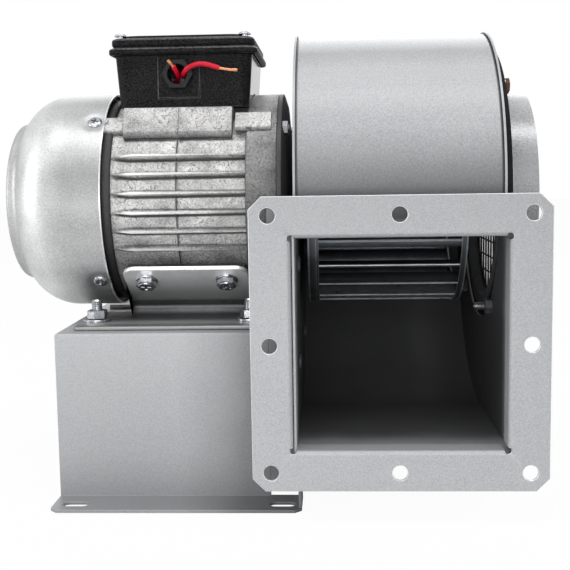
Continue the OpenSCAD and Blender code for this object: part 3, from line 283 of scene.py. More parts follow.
def end_tree(tree, geometry, finish):
    """Coats a node tree's geometry and sends it out."""
    coat = add(tree, "GeometryNodeSetMaterial", {"Geometry": geometry, "Material": finish})
    feed(tree, tree.nodes.new("NodeGroupOutput"), {"Made": coat})


def end_with_copies(tree, given, places):
    """Sets copies of the given pattern at a node tree's places and sends them out."""
    pattern = add(tree, "GeometryNodeObjectInfo", {"Object": given["Pattern"]}).outputs["Geometry"]
    placed = add(tree, "GeometryNodeInstanceOnPoints", {"Instance": pattern, **places})
    end_tree(tree, add(tree, "GeometryNodeRealizeInstances", {"Geometry": placed}), given["Finish"])


def fastener_seats():
    """Node tree that stands one fastener on each seat, along the seat's own direction."""
    tree, given = geometry_tree("fasteners on their seats", Seats="Geometry", Pattern="Object", Size="Float",
                                Finish="Material")
    along, roll = [add(tree, "GeometryNodeInputNamedAttribute", {"Name": name}, data_type=kind)
                   for name, kind in (("along", "FLOAT_VECTOR"), ("roll", "FLOAT"))]
    stand = add(tree, "FunctionNodeAlignRotationToVector", {"Vector": along}, axis="Z")
    spin = add(tree, "FunctionNodeAxisAngleToRotation", {"Axis": (0, 0, 1), "Angle": roll})
    facing = add(tree, "FunctionNodeRotateRotation", {"Rotation": stand, "Rotate By": spin}, rotation_space="LOCAL")
    end_with_copies(tree, given, {"Points": given["Seats"], "Rotation": facing, "Scale": given["Size"]})
    return tree


def made_by_tree(tree, settings, start=None, pattern=None):
    """Runs a node tree on a start mesh, with a mesh as its pattern, and gives back the result as a plain mesh."""
    carrier = bpy.data.objects.new("carrier", bpy.data.meshes.new("start") if start is None else start)
    scratch = [carrier]
    if pattern is not None:
        scratch.append(bpy.data.objects.new("pattern", pattern))
        settings = {**settings, "Pattern": scratch[1]}
    for thing in scratch:
        bpy.context.scene.collection.objects.link(thing)
    maker = carrier.modifiers.new("maker", "NODES")
    maker.node_group = tree
    sockets = {s.name: s.identifier for s in tree.interface.items_tree if s.in_out == "INPUT"}
    for name, value in settings.items():
        maker[sockets[name]] = value
    bpy.context.view_layer.update()
    mesh = bpy.data.meshes.new_from_object(carrier.evaluated_get(bpy.context.evaluated_depsgraph_get()))
    carrier.modifiers.clear()
    for thing in scratch:
        bpy.data.objects.remove(thing)
    return mesh


zinc = grained("blue zinc plate", (0.22, 0.232, 0.248), (0.54, 0.555, 0.58), 0.0018, (0.14, 0.28), metallic=0.9,
               relief=0.08, patch=0.006, patch_share=0.5)
# Zinc darkened as painted shade, so that the bolts and nuts inside the scroll sit in its shade.
zinc_darkened_as_shade = grained("dull zinc plate darkened as painted shade", (0.06, 0.062, 0.066), (0.17, 0.174, 0.182), 0.0018, (0.4, 0.6),
                    metallic=0.5, relief=0.1, patch=0.012)
seats_tree = fastener_seats()


def fasten(name, pattern, seats, nodes=(), finish=zinc):
    """One piece of like fasteners: pattern is a shape in mm along +Z, seats are (point, along, roll)."""
    turn_outwards(pattern)
    model = as_mesh("pattern", pattern)
    model.shade_smooth()
    model.set_sharp_from_angle(angle=math.radians(30))
    start = bpy.data.meshes.new("seats")
    start.from_pydata([Vector(p) * MM for p, _, _ in seats], [], [])
    start.attributes.new("along", "FLOAT_VECTOR", "POINT")
    start.attributes.new("roll", "FLOAT", "POINT")
    for k, (_, direction, degrees) in enumerate(seats):
        start.attributes["along"].data[k].vector = direction
        start.attributes["roll"].data[k].value = math.radians(degrees)
    enter(name, made_by_tree(seats_tree, {"Size": MM, "Finish": finish}, start, model), nodes)


pattern = round_solid(bmesh.new(), [(5.3, 0), (5.25, 0.5), (4.6, 1.2), (3.0, 1.55), (1.0, 1.6)])
round_solid(pattern, threaded(3, -7.5, 0.1, 0.9))
hex_solid(pattern, 10, -7.4, -3.5, 0.5)
seats = [((PLATE_FACE, y, AXIS + z), (1, 0, 0), 17 * k) for k, (y, z) in enumerate(SUPPORT_BOLTS)]
fasten("support_bolts", pattern, seats, ["scroll_support_bolts"], zinc_darkened_as_shade)

# Foot brackets and their fixings. Each bracket is a 3 mm zinc-plated plate with a round fold, so that it leans
# on a foot pad of the motor. Flange screws hold it to the motor, and bolts with wide washers to the pedestal.
TILT = math.radians(35)  # lean of the brackets and of the motor's foot pads
FOOT_UNDER, FOOT_TOP = 104, 109  # under the pedestal's sheet and on the bracket's foot, mm
FOLD_AT, FOLD_R, FOLD_HALF = Vector((17.31, FOOT_TOP)), 5, 40.9  # inner line of the fold, its radius and half length
PAD_OUT, SCREW_UP, SCREW_X = 73, 14.5, 26.5  # flange screws: out and up along the pad, and along the shaft, mm
FEET = [(-8 + sx * 50, sy * 62.5) for sx in (-1, 1) for sy in (-1, 1)]  # (x, y), mm
bracket_zinc = grained("bracket zinc plate", (0.82, 0.83, 0.84), (0.97, 0.975, 0.98), 0.003, (0.3, 0.42),
                       metallic=0.55, relief=0.04, patch=0.025, patch_share=0.7)
# Painted light and shade: the plate's pale colour is lifted as painted light, and it darkens down towards the fold.
shade_along(bracket_zinc, "Z", [(105, 0.42), (109.2, 0.44), (113, 0.25), (118, 0.2), (124, 0.4), (131, 0.8), (137, 1),
                                (143, 1)], 1)
# On the foot, a painted highlight streak near the front edge, and painted shade towards the fold.
shade_along(bracket_zinc, "Y", [(-90, 0.5), (-79, 0.55), (-74, 1), (-67, 0.8), (-59, 0.3), (-48, 0.2), (0, 0.2),
                                (90, 0.4)], 2, only=("Z", 109.2, 110.5))
fold_zinc = grained("shaded zinc in the fold", (0.2, 0.205, 0.21), (0.34, 0.345, 0.35), 0.003, (0.3, 0.42),
                    metallic=0.55, relief=0.04, patch=0.025, patch_share=0.7, sheen=0.2)
# Painted shade in the fold, with a painted highlight line along the bend.
shade_along(fold_zinc, "Z", [(109, 0.7), (110, 1), (111, 0.9), (112.5, 0.35), (115, 0.2), (119, 0.35)], 0.3)
bare_edge = grained("bright sheared edge", (0.55, 0.555, 0.56), (0.75, 0.755, 0.76), 0.002, (0.25, 0.4),
                    metallic=0.5, relief=0.05, patch=0.01)
bracket_edge = bare_edge.copy()
bracket_edge.name = "bracket sheared edge"
# Painted shade: the brackets' sheared edges darken towards the foot.
shade_along(bracket_edge, "Z", [(105, 0.1), (109.5, 0.14), (118, 0.3), (130, 0.9), (143, 1)])
for node in ("foot_bracket_front", "foot_bracket_rear"):
    fit_piece(node + "_plate", cad_shape(node), [bracket_zinc, bracket_edge], [node], edge=0.5,
              edge_finish=1)


def pad_axes(side):
    """Directions out of a foot pad of the motor and up along it, as (y, z)."""
    return (Vector((-side * math.sin(TILT), -math.cos(TILT))), Vector((-side * math.cos(TILT), math.sin(TILT))))


def foot_seats(z, first, step):
    """Upright seats at the feet, each rolled a step further than the one before."""
    return [((x, y, z), (0, 0, 1), first + step * k) for k, (x, y) in enumerate(FEET)]


shape = bmesh.new()
flange_screws = []
centre = FOLD_AT + Vector((FOLD_R / math.tan(TILT / 2), FOLD_R))
turns = [(math.pi - TILT) * k / 16 for k in range(17)]
section = [FOLD_AT] + [centre - FOLD_R * Vector((math.sin(t), math.cos(t))) for t in turns]
for side in (1, -1):
    rows = [[shape.verts.new((x * MM, -side * y * MM, z * MM)) for y, z in section] for x in (-FOLD_HALF, FOLD_HALF)]
    skin(shape, rows, capped=False)
    for row in rows:
        for k in range(1, len(section) - 1):
            shape.faces.new((row[0], row[k], row[k + 1]))
    outward, upward = pad_axes(side)
    y, z = outward * PAD_OUT + upward * SCREW_UP
    flange_screws += [((x, y, AXIS + z), (0, *outward), 20 + x) for x in (-SCREW_X, SCREW_X)]
turn_outwards(shape)
fit_piece("bracket_folds", shape, [fold_zinc], turn=30)
pattern = round_solid(bmesh.new(), [(7.4, 0), (7.4, 0.6), (6.9, 1.3), (6, 1.7)], 40)
hex_solid(pattern, 11.8, 0.6, 5.0, 0.6)
rim = cross_recess(pattern, 4.9, 5.5, 0.85, 2.2)
skin(pattern, [circle(pattern, 5.3, 4.9, HEAD_TURNS), rim], capped=False)
round_solid(pattern, [(3, -9.5), (3, 0.2)])
fasten("bracket_flange_screws", pattern, flange_screws, ["bracket_screws"])
pattern = hex_solid(bmesh.new(), 13, -5.3, 0, 0.7)
round_solid(pattern, threaded(3.5, -0.1, 19.3, 1.25))
fasten("foot_studs", pattern, foot_seats(FOOT_UNDER, 0, 11), ["foot_bolts"])
fasten("foot_stud_nuts", hex_solid(bmesh.new(), 11.6, 1.7, 7.4, 0.8), foot_seats(FOOT_TOP, 25, 19), ["foot_nuts"])
pattern = round_solid(bmesh.new(), [(8.8, 0), (9, 0.2), (9, 1.3), (8.7, 1.6)], 48)
fasten("foot_wide_washers", pattern, foot_seats(FOOT_TOP, 0, 0), ["foot_washers"])

# Motor frame. A die-cast aluminium barrel, left raw: the cast skin is mottled, with painted shade in the roots
# of the fins and a painted highlight along their crests. A thin rib stands where the two die halves met.
FIN_STEP = 10.25  # degrees
FIN_ANGLES = [154.7 + FIN_STEP * k for k in range(6)] + [25.3 - FIN_STEP * k for k in range(6)]
FIN_ANGLES += [-90 - FIN_STEP, -90, -90 + FIN_STEP]
FIN_START, FIN_LEAD = -44.6, 12  # where the fins begin along the shaft, and the length of their tapered start, mm
FIN_HEIGHT, FIN_REACH = 4.0, 3  # height, and the most that a flank reaches from the middle, mm
FIN_SHADE = 4  # steps of the skin that carry painted shade under a fin
HIGHLIGHT_FROM, DEEP_SHADE = 0.6, -0.95  # share of a fin's height from which it carries a painted highlight, and the value of deep painted shade
RIB_X, RIB_HEIGHT, RIB_WIDTH = -3.3, 1.1, 0.75  # rib of the die halves, mm
ROOT_R, FIN_R, BORE_R = 66.8, 69, 60.6  # skin between the fins, middle of the fins and bore, mm
SKIN_LOW, SKIN_HIGH = -46.2, 41.3  # ends of the finned skin along the shaft, mm
PAD_LOW, PAD_HIGH = -39, 32  # ends of the terminal pad along the shaft, mm
PAD_EDGE = 53.4  # degrees from the top at which the terminal pad meets the skin
FOOT_PAD, FOOT_PAD_HALF = [(50, -14), (70, -14), (70, 20), (50, 20)], 39  # corners (out, up) and half length, mm
TURNS = 900


def limited(value):
    """A value kept between 0 and 1."""
    return min(1.0, max(0.0, value))


def smooth_step(share):
    """A share from 0 to 1 with soft ends."""
    return share * share * (3 - 2 * share)


def arc_between(a, b, radius):
    """Length of the arc between two angles in degrees."""
    return math.radians(abs((a - b + 180) % 360 - 180)) * radius


def barrel_radius(x, degrees):
    """Radius of the cast skin in mm, with tapered fins, die rib and waviness, and the shares of fin and rib in it."""
    fin = 0.0
    for angle in FIN_ANGLES:
        away = arc_between(degrees, angle, FIN_R)
        if away < FIN_REACH:
            lead = limited((x - FIN_START) / FIN_LEAD)
            half = (0.4 + 1.75 * lead ** 0.8) * (1 - 0.3 * max(0.0, (x + 32) / 73))
            rise = limited((half - away) / (0.7 * half))
            fin = max(fin, FIN_HEIGHT * (0.3 + 0.7 * lead ** 0.7) * smooth_step(rise))
    rib = RIB_HEIGHT * math.exp(-((x - RIB_X) / RIB_WIDTH) ** 2)
    spot = Vector((x / 9, *polar(7, degrees)))
    rough = 0.2 * noise.noise(spot) + 0.12 * noise.noise(spot * 3.1)
    return ROOT_R + max(fin, rib) + rough, min(1.0, fin / 3.6), min(1.0, rib)


def axis_ring(shape, x, radii):
    """Ring of points about the shaft, one for each radius, in mm."""
    points = [polar(r, 360 * k / len(radii)) for k, r in enumerate(radii)]
    return [shape.verts.new((x * MM, y * MM, (AXIS + z) * MM)) for y, z in points]


def ring_solid(shape, profile, turns=160):
    """Closed ring about the shaft from a closed profile of (x, radius), in mm."""
    rings = [axis_ring(shape, x, [r] * turns) for x, r in profile]
    skin(shape, rings + rings[:1], capped=False)


def prism_solid(shape, outline, *ends):
    """Prism along the shaft between two ends from an outline of (y, z) about it, in mm."""
    skin(shape, [[shape.verts.new((x * MM, y * MM, (AXIS + z) * MM)) for y, z in outline] for x in ends])


def cast_finish(name, dark, mid, bright):
    """Raw casting: grainy skin with dark flow marks; an attribute runs from -1, painted shade, to 1, painted highlight.
    """
    finish = grained(name, dark, mid, 0.0012, (0.36, 0.6), metallic=0.4, relief=0.9, patch=0.014,
                     patch_share=0.55, depth=0.0006, sheen=0.25)
    tree = finish.node_tree
    place = add(tree, "ShaderNodeTexCoord").outputs["Object"]
    marks = add(tree, "ShaderNodeTexNoise", {"Vector": place, "Scale": 170, "Detail": 3, "Distortion": 1.4})
    ridge = maths(tree, "ABSOLUTE", maths(tree, "SUBTRACT", marks, 0.5))
    patches = ranged(tree, tree.nodes["broad patches"], 0.44, 0.58)
    shown = maths(tree, "MULTIPLY", ranged(tree, ridge, 0.0, 0.03, 0.9, 0.0), patches)
    black = (*Vector(dark) * 0.16, 1)
    colour = mixed(tree, shown, tree.nodes["tones"], black)
    painted_light_and_shade = add(tree, "ShaderNodeAttribute", attribute_name="painted_light_and_shade").outputs["Fac"]
    for full, painted_colour in ((1.0, (*bright, 1)), (-1.0, black)):
        colour = mixed(tree, ranged(tree, painted_light_and_shade, 0.0, full, 0.0, 0.96), colour, painted_colour)
    feed(tree, tree.nodes["Principled BSDF"], {"Base Color": colour})
    return finish


cast_aluminium = cast_finish("raw cast aluminium", (0.2, 0.198, 0.197), (0.74, 0.737, 0.733), (0.85, 0.848, 0.845))
# Painted shade: the skin darkens towards the bottom of the barrel.
shade_along(cast_aluminium, "Z", [(110, 0.4), (147, 0.45), (156, 0.75), (166, 1), (262, 1)], 3)
stations = [SKIN_LOW + 0.4 * k for k in range(6)] + [-43.8 + 1.2 * k for k in range(31)]
stations += [-5.3 + 0.35 * k for k in range(13)] + [0.2 + 2.1 * k for k in range(20)] + [SKIN_HIGH]
shape = bmesh.new()
light_layer = shape.verts.layers.float.new("painted_light_and_shade")
rings = []
for x in stations:
    made = [barrel_radius(x, 360 * k / TURNS) for k in range(TURNS)]
    rings.append(axis_ring(shape, x, [radius for radius, _, _ in made]))
    for k, vert in enumerate(rings[-1]):
        _, rise, seam = made[k]
        up = -1 if vert.co.y < 0 else 1
        over = max(made[(k + up * d) % TURNS][1] for d in range(1, FIN_SHADE + 1))
        under = max(made[(k - up * d) % TURNS][1] for d in range(1, FIN_SHADE // 2 + 1))
        # Painted shade under the fins, on the cowl's side of the rib, just below the terminal pad and in the step at
        # the drive end; a painted highlight along the crests of the fins, fading towards the drive end.
        under_fin_shade = -max(min(1.0, over * 1.4), 0.75 * under) * max(0.0, 1 - rise / HIGHLIGHT_FROM)
        crest_highlight = (0.9 - 0.015 * (x + 40)) * (rise - HIGHLIGHT_FROM) / (1 - HIGHLIGHT_FROM)
        below_pad = abs(abs(90 - 360 * k / TURNS) - PAD_EDGE) if PAD_LOW < x < PAD_HIGH else 9
        painted_shade = min(under_fin_shade, -seam if x < RIB_X + 0.4 else 0.0, DEEP_SHADE * max(0.0, 1 - below_pad / 1.7))
        vert[light_layer] = crest_highlight if rise > HIGHLIGHT_FROM else DEEP_SHADE if x > SKIN_HIGH - 1.1 else painted_shade
rings += [axis_ring(shape, x, [BORE_R] * TURNS) for x in (SKIN_HIGH, SKIN_LOW)]
skin(shape, rings + rings[:1], capped=False)
skin_verts = len(shape.verts)
ring_solid(shape, [(-53, BORE_R), (-53, 68.3), (-52.4, 69), (-46.8, 69), (-46, 68.2), (-46, BORE_R)])
ring_solid(shape, [(41, BORE_R), (41, 69.8), (41.5, 70.8), (42.2, 71.2), (60.3, 71.5), (61, 70.9), (61, BORE_R)])
shape.verts.ensure_lookup_table()
# Painted shade: the rear ring lies in a painted shadow of the cowl, and the drive ring is shaded, more towards the
# bottom.
for vert in shape.verts[skin_verts:]:
    x = vert.co.x / MM
    low = limited((AXIS + 60 - vert.co.z / MM) / 60)
    vert[light_layer] = -1.0 if x < 41.2 else -0.32 - 0.5 * low if x < 60 else -0.3 - 0.5 * low
turn_outwards(shape)
fit_piece("motor_barrel", shape, [cast_aluminium], ["motor_frame"], turn=50)

shape = bmesh.new()
for low, high, half in ((PAD_LOW, PAD_HIGH, [(-49, 61), (-56, 45.5), (-54.5, 41), (-46, 38)]),
                        (-3.9, -2.7, [(-50, 61), (-56.9, 45.5), (-55.3, 40.6), (-46, 37.6)]),
                        (-52, -39.4, [(-47, 55), (-53.5, 46.5), (-52, 43.5)]),
                        (34, 57.5, [(-50, 57), (-57, 47.5), (-55.5, 44.5)])):
    prism_solid(shape, half + [(-y, z) for y, z in reversed(half)], low, high)
for side in (1, -1):
    outward, upward = pad_axes(side)
    corners = [outward * out + upward * up for out, up in FOOT_PAD]
    prism_solid(shape, corners[::side], -FOOT_PAD_HALF, FOOT_PAD_HALF)
turn_outwards(shape)
light_layer = shape.verts.layers.float.new("painted_light_and_shade")
# Painted shade: each pad is darker below its upper face, and the foot pads under the shaft are shaded too.
for vert in shape.verts:
    height = vert.co.z / MM - AXIS
    vert[light_layer] = -0.7 if height < 0 else -0.9 if height < 45 else -0.28 if height < 46 else 0.0
fit_piece("motor_pads", shape, [cast_aluminium], edge=0.55)

# End shields with their fixings. Castings with a bearing seat close both ends of the frame, darkened as painted
# shade: four studs with nuts hold the drive end, and small screws the rear one, which the cowl covers.
STUD_R = 65.75  # mm from the shaft
QUARTERS = [45, 135, 225, 315]
shield_casting_in_painted_shade = grained("shield casting darkened as painted shade", (0.02, 0.02, 0.021), (0.05, 0.05, 0.052), 0.0015, (0.4, 0.6),
                         metallic=0.2, relief=0.3)
for end, edge in (("drive", 0.4), ("rear", 0.3)):
    node = end + "_end_shield"
    fit_piece(end + "_shield", cad_shape(node), [shield_casting_in_painted_shade], [node], edge=edge)


def round_seats(x, radius, angles):
    """Seats along the shaft on a circle about it, in mm."""
    points = [polar(radius, a) for a in angles]
    return [((x, y, AXIS + z), (1, 0, 0), 13 * k) for k, (y, z) in enumerate(points)]


low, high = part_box("shield_studs")
pattern = round_solid(bmesh.new(), threaded(2.5, 0, (high.x - low.x) / MM, 0.8))
fasten("shield_end_studs", pattern, round_seats(low.x / MM, STUD_R, QUARTERS), ["shield_studs"])
low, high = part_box("shield_nuts")
pattern = hex_solid(bmesh.new(), 8, 0, (high.x - low.x) / MM, 0.5)
fasten("shield_stud_nuts", pattern, round_seats(low.x / MM, STUD_R, QUARTERS), ["shield_nuts"])

# Works of the motor, inside the frame: laminated stator with its winding, two ball bearings, the shaft
# with key and rotor core. Little of them shows from outside, so the CAD solids carry the finishes.
def dress(finish, *nodes):
    """Gives CAD nodes that keep their own shape a finish."""
    for node in nodes:
        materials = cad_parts[node].data.materials
        materials.clear()
        materials.append(finish)


ground_steel = grained("ground steel", (0.42, 0.43, 0.44), (0.6, 0.61, 0.62), 0.0009, (0.16, 0.28),
                       metallic=0.9)
dress(ground_steel, "drive_bearing_outer", "rear_bearing_outer", "drive_bearing_inner", "rear_bearing_inner",
      "bearing_balls", "wave_washer", "motor_shaft", "shaft_key", "fan_clip")
dress(grained("laminated core steel", (0.12, 0.125, 0.135), (0.2, 0.205, 0.215), 0.0007, (0.35, 0.5),
              metallic=0.8), "stator_core", "rotor_core")
dress(grained("enamelled winding", (0.25, 0.07, 0.025), (0.5, 0.18, 0.07), 0.0011, (0.25, 0.4), metallic=0.6,
              relief=0.4), "stator_winding")
dress(grained("brass cage", (0.42, 0.29, 0.1), (0.62, 0.45, 0.17), 0.0012, (0.25, 0.4), metallic=0.9),
      "bearing_cages")
dress(zinc, "rear_shield_screws", "hub_screw")

# Cooling fan and cowl. A moulded fan on the rear shaft end blows over the fins. The cowl over it is drawn
# from zinc-coated sheet, with a raised end disc, vents in it, and a dished seat under each screw.
COWL_R, COWL_SHEET = 73, 1.2  # outside and sheet, mm
COWL_BACK, COWL_RIM, DISC_R = -115.8, -51.3, 54  # ends along the shaft and radius of the end disc, mm
DRAW_X, DRAW_R = -81.8, 34  # where the drawn shoulder ends, and its radius, mm
COWL_SCREW_X, COWL_SEAT_R = -58, 71.9  # mm
COWL_SCREWS = [46, 134, -46, -134]  # degrees
COWL_TURNS = 288
dress(grained("moulded fan plastic", (0.025, 0.025, 0.027), (0.06, 0.06, 0.063), 0.0012, (0.4, 0.55)),
      "cooling_fan")
cowl_sheet = grained("satin zinc sheet", (0.5, 0.504, 0.51), (0.9, 0.904, 0.91), 0.001, (0.36, 0.47),
                     metallic=0.5, relief=0.22, patch=0.03, patch_share=0.45)
# The cowl's light colour and these shades are painted light. Painted shade: it darkens at its bottom and towards its
# top.
shade_along(cowl_sheet, "Z", [(112, 0.7), (120, 1), (195, 1), (225, 0.95), (262, 0.82)], 6)
# A painted dark reflection band across the middle heights of the side, fading out towards the end disc.
shade_along(cowl_sheet, "Z", [(112, 1), (150, 1), (172, 0.82), (188, 0.6), (203, 0.6), (215, 0.9), (223, 1), (262, 1)],
            5, only=("X", -80, -97))
# Painted shade round the lower screws and along the bottom near the rim.
shade_along(cowl_sheet, "Z", [(112, 0.55), (120, 0.42), (132, 0.45), (139, 0.55), (148, 1), (262, 1)], 4,
            only=("X", -64, -77))
# A painted highlight over the drawn shoulder, darker on the end disc and towards the rim.
shade_along(cowl_sheet, "X", [(-119, 0.52), (-112, 0.62), (-104, 0.82), (-94, 0.86), (-85, 0.73), (-76, 0.65),
                              (-50, 0.66)], 5)


def dished(x, degrees):
    """Depth of the dished seats under the screws, in mm."""
    gap = min(math.hypot(arc_between(degrees, a, COWL_R), x - COWL_SCREW_X) for a in COWL_SCREWS)
    return 1.1 * smooth_step(limited(1.6 * (1 - gap / 10)))


def pan_screw(stem, wide=1.0, tall=1.0):
    """Cross-recess screw with a pan head, scaled in width and height, and a plain stem."""
    pattern = bmesh.new()
    rings = [cross_recess(pattern, 3.0, 1.6, 0.55, 1.3)]
    rings += [circle(pattern, r, z, HEAD_TURNS) for r, z in ((3.6, 1.3), (4.05, 0.7), (4.2, 0))]
    skin(pattern, rings, capped=False)
    pattern.faces.new(rings[-1])
    bmesh.ops.scale(pattern, vec=(wide, wide, tall), verts=pattern.verts)
    return round_solid(pattern, [(1.75, -stem), (1.75, 0.1)])


def paint(shape, choose):
    """Gives each face the finish that is chosen by its middle, in mm, and its direction."""
    for face in shape.faces:
        face.material_index = int(choose(face.calc_center_median() / MM, face.normal))
    return shape


start = math.asin(15.6 / DRAW_R)
shoulder = [start + (math.pi / 2 - start) * k / 16 for k in range(17)]
outside = [(COWL_BACK, DISC_R), (COWL_BACK + 1.1, DISC_R + 0.1)]
outside += [(DRAW_X - DRAW_R * math.cos(t), COWL_R - DRAW_R + DRAW_R * math.sin(t)) for t in shoulder]
outside += [(DRAW_X + 1.1 * k, COWL_R) for k in range(1, 28)] + [(COWL_RIM, COWL_R)]
inside = [(x + (0.0 if r > COWL_R - 0.1 else 0.7), r - COWL_SHEET) for x, r in outside]
profile = outside + [(COWL_RIM, COWL_R - COWL_SHEET)] + inside[-2:1:-1]
profile += [(COWL_BACK + 0.9, DISC_R - COWL_SHEET), (COWL_BACK, DISC_R - COWL_SHEET)]
shape = bmesh.new()
rings = [axis_ring(shape, x, [r - dished(x, 360 * k / COWL_TURNS) for k in range(COWL_TURNS)]) for x, r in profile]
skin(shape, rings + rings[:1], capped=False)
turn_outwards(shape)
disc = cad_shape("fan_cowl")
drawn = [f for f in disc.faces if f.calc_center_median().x > (COWL_BACK + 0.3) * MM]
bmesh.ops.delete(disc, geom=drawn, context="FACES")
disc_mesh = as_mesh("disc", disc)
shape.from_mesh(disc_mesh)
bpy.data.meshes.remove(disc_mesh)
paint(shape, lambda p, n: p.x > COWL_RIM - 0.3
      or (p.x > COWL_RIM - 1.1 and math.hypot(p.y, p.z - AXIS) > COWL_R - COWL_SHEET / 2))
fit_piece("cowl", shape, [cowl_sheet, bare_edge], ["fan_cowl"], turn=45)
seats = []
for angle in COWL_SCREWS:
    y, z = polar(COWL_SEAT_R, angle)
    seats.append(((COWL_SCREW_X, y, AXIS + z), (0, y / COWL_SEAT_R, z / COWL_SEAT_R), 30 + angle))
fasten("cowl_pan_screws", pan_screw(4.8, 1.16, 1.1), seats, ["cowl_screws"])

# Terminal box. Moulded in black plastic with a fine spark grain: a flared tub on the pad of the frame, a
# rubber gasket and a stepped lid held by four screws. Inside are the terminal block and the capacitor.
LID_X, LID_Y, LID_CORNER = 48.5, 51, 8  # half sizes and corner radius of the lid, mm
# Insets and heights of the lid's steps, mm.
LID_STEPS = [(2.6, 286), (2.5, 281.1), (0.8, 281.1), (0.2, 281.5), (0, 282.2), (0, 284.1), (0.3, 284.9),
             (1.2, 285.4), (2.4, 285.6), (2.6, 286.3), (2.1, 286.9), (1.8, 287.6), (1.8, 290.1), (2.1, 291),
             (3.1, 291.6), (4.9, 291.9), (5.5, 292.1), (5.9, 292.8), (6.5, 293.4), (9, 293.8), (18, 294.4)]
WORN_AND_HIGHLIT_BANDS = ((284.2, 285.3), (290.2, 291.4))  # heights on the lid, mm
LID_SCREW_X, LID_SCREW_Y, LID_SCREW_Z = 40.5, 43, 293.2  # seats of the screws, mm
black_plastic = grained("black moulded plastic", (0.0002, 0.0002, 0.0003), (0.024, 0.0234, 0.0248), 0.0008,
                        (0.36, 0.52), relief=0.8, patch=0.02, patch_share=0.15, spread=0.12, sheen=0.04)
smooth_plastic = grained("smooth black plastic", (0.012, 0.012, 0.0125), (0.04, 0.04, 0.041), 0.0009,
                         (0.08, 0.14), relief=0.06, spread=0.12)
# Lighter plastic for edges and lid bands: partly wear, partly painted highlights.
worn_and_highlit_plastic = grained("rubbed black plastic with painted highlights", (0.004, 0.004, 0.0042), (0.085, 0.084, 0.087), 0.0014,
                         (0.25, 0.4), relief=0.4, spread=0.12, sheen=0.2)
# The box's right face alone gets a lighter, smoother copy of the plastic: painted light for the sheen that face
# catches.
shape = paint(cad_shape("terminal_box_body"), lambda p, n: n.x > 0.9 and p.x > 40)
fit_piece("box_tub", shape, [black_plastic, smooth_plastic, worn_and_highlit_plastic], ["terminal_box_body"],
          edge=0.6, turn=30, edge_finish=2)


def rounded_row(shape, inset, z, steps=8):
    """Ring of points round the lid's outline at an inset and a height, in mm."""
    corner = LID_CORNER + (4 if z > 292 else 0) - min(inset, 6) * 0.3
    row = []
    for k, (sx, sy) in enumerate(((1, 1), (-1, 1), (-1, -1), (1, -1))):
        for i in range(steps + 1):
            x, y = polar(corner, 90 * (k + i / steps))
            row.append(shape.verts.new(((sx * (LID_X - inset - corner) + x) * MM,
                                        (sy * (LID_Y - inset - corner) + y) * MM, z * MM)))
    return row


shape = bmesh.new()
skin(shape, [rounded_row(shape, inset, z) for inset, z in LID_STEPS])
turn_outwards(shape)
# The two bands round the lid carry wear and painted highlights.
paint(shape, lambda p, n: any(low < p.z < high for low, high in WORN_AND_HIGHLIT_BANDS))
fit_piece("box_lid", shape, [black_plastic, worn_and_highlit_plastic], ["terminal_box_lid"], turn=50)
seats = [((sx * LID_SCREW_X, sy * LID_SCREW_Y, LID_SCREW_Z), (0, 0, 1), 20 + 40 * sx + 15 * sy)
         for sx in (-1, 1) for sy in (-1, 1)]
fasten("lid_pan_screws", pan_screw(12), seats, ["lid_screws"])
dress(grained("gasket rubber", (0.02, 0.02, 0.021), (0.045, 0.045, 0.046), 0.001, (0.6, 0.75)), "lid_gasket")
dress(grained("cream block plastic", (0.55, 0.52, 0.43), (0.68, 0.65, 0.56), 0.001, (0.35, 0.5)),
      "terminal_block")
dress(grained("capacitor can", (0.55, 0.56, 0.57), (0.7, 0.71, 0.72), 0.0015, (0.3, 0.4), metallic=0.7),
      "run_capacitor")
gland_plastic = grained("dark grey gland plastic", (0.007, 0.0073, 0.008), (0.022, 0.0227, 0.024), 0.0008,
                        (0.4, 0.5), relief=0.2, sheen=0.12)
fit_piece("cable_gland", cad_shape("gland_ring"), [gland_plastic], ["gland_ring"], edge=0.5, turn=30)

# Leads. Two red single-core leads with PVC insulation come from the terminal block through the gland. Each
# ends in a bare twist of copper strands, as delivered for wiring up.
LEADS = {  # route of the insulation and further points of the bare end, mm
    "long": ([(8, -22, 262), (5.6, -27, 263.4), (3.6, -32, 264.8), (1.8, -37, 266.1), (0.5, -42, 267),
              (0.7, -47, 267.2), (0.9, -50.5, 268), (2.2, -53.2, 269.4), (4.4, -55.4, 271), (8, -56.7, 272.6),
              (12.5, -57.2, 273.5), (17.5, -57.2, 273), (21.5, -57, 271.8), (25, -57, 270.6)],
             [(31, -57, 269.6), (36.5, -57, 269.2)]),
    "short": ([(-12, -22, 262), (-9.6, -27, 263), (-7.4, -32, 264), (-5.2, -37, 265.2), (-3.6, -42, 266.2),
               (-3.2, -47, 267.2), (-3.3, -50.5, 268.8), (-3.9, -53, 270.5), (-4.8, -55, 272.4)],
              [(-6.3, -56.3, 274.4), (-7.9, -57, 276.2)]),
}
LEAD_R, STRAND_R, LAY_R, STRANDS = 1.6, 0.24, 0.62, 9  # radii of lead, strand and twist, mm, and strands in a twist
red_vinyl = grained("red lead insulation", (0.42, 0.001, 0.014), (0.62, 0.004, 0.03), 0.0012, (0.3, 0.42),
                    relief=0.06, patch=0.01, sheen=0.25)
strand_copper = grained("bare copper strands", (0.42, 0.17, 0.08), (0.72, 0.36, 0.2), 0.0006, (0.25, 0.4),
                        metallic=0.9)


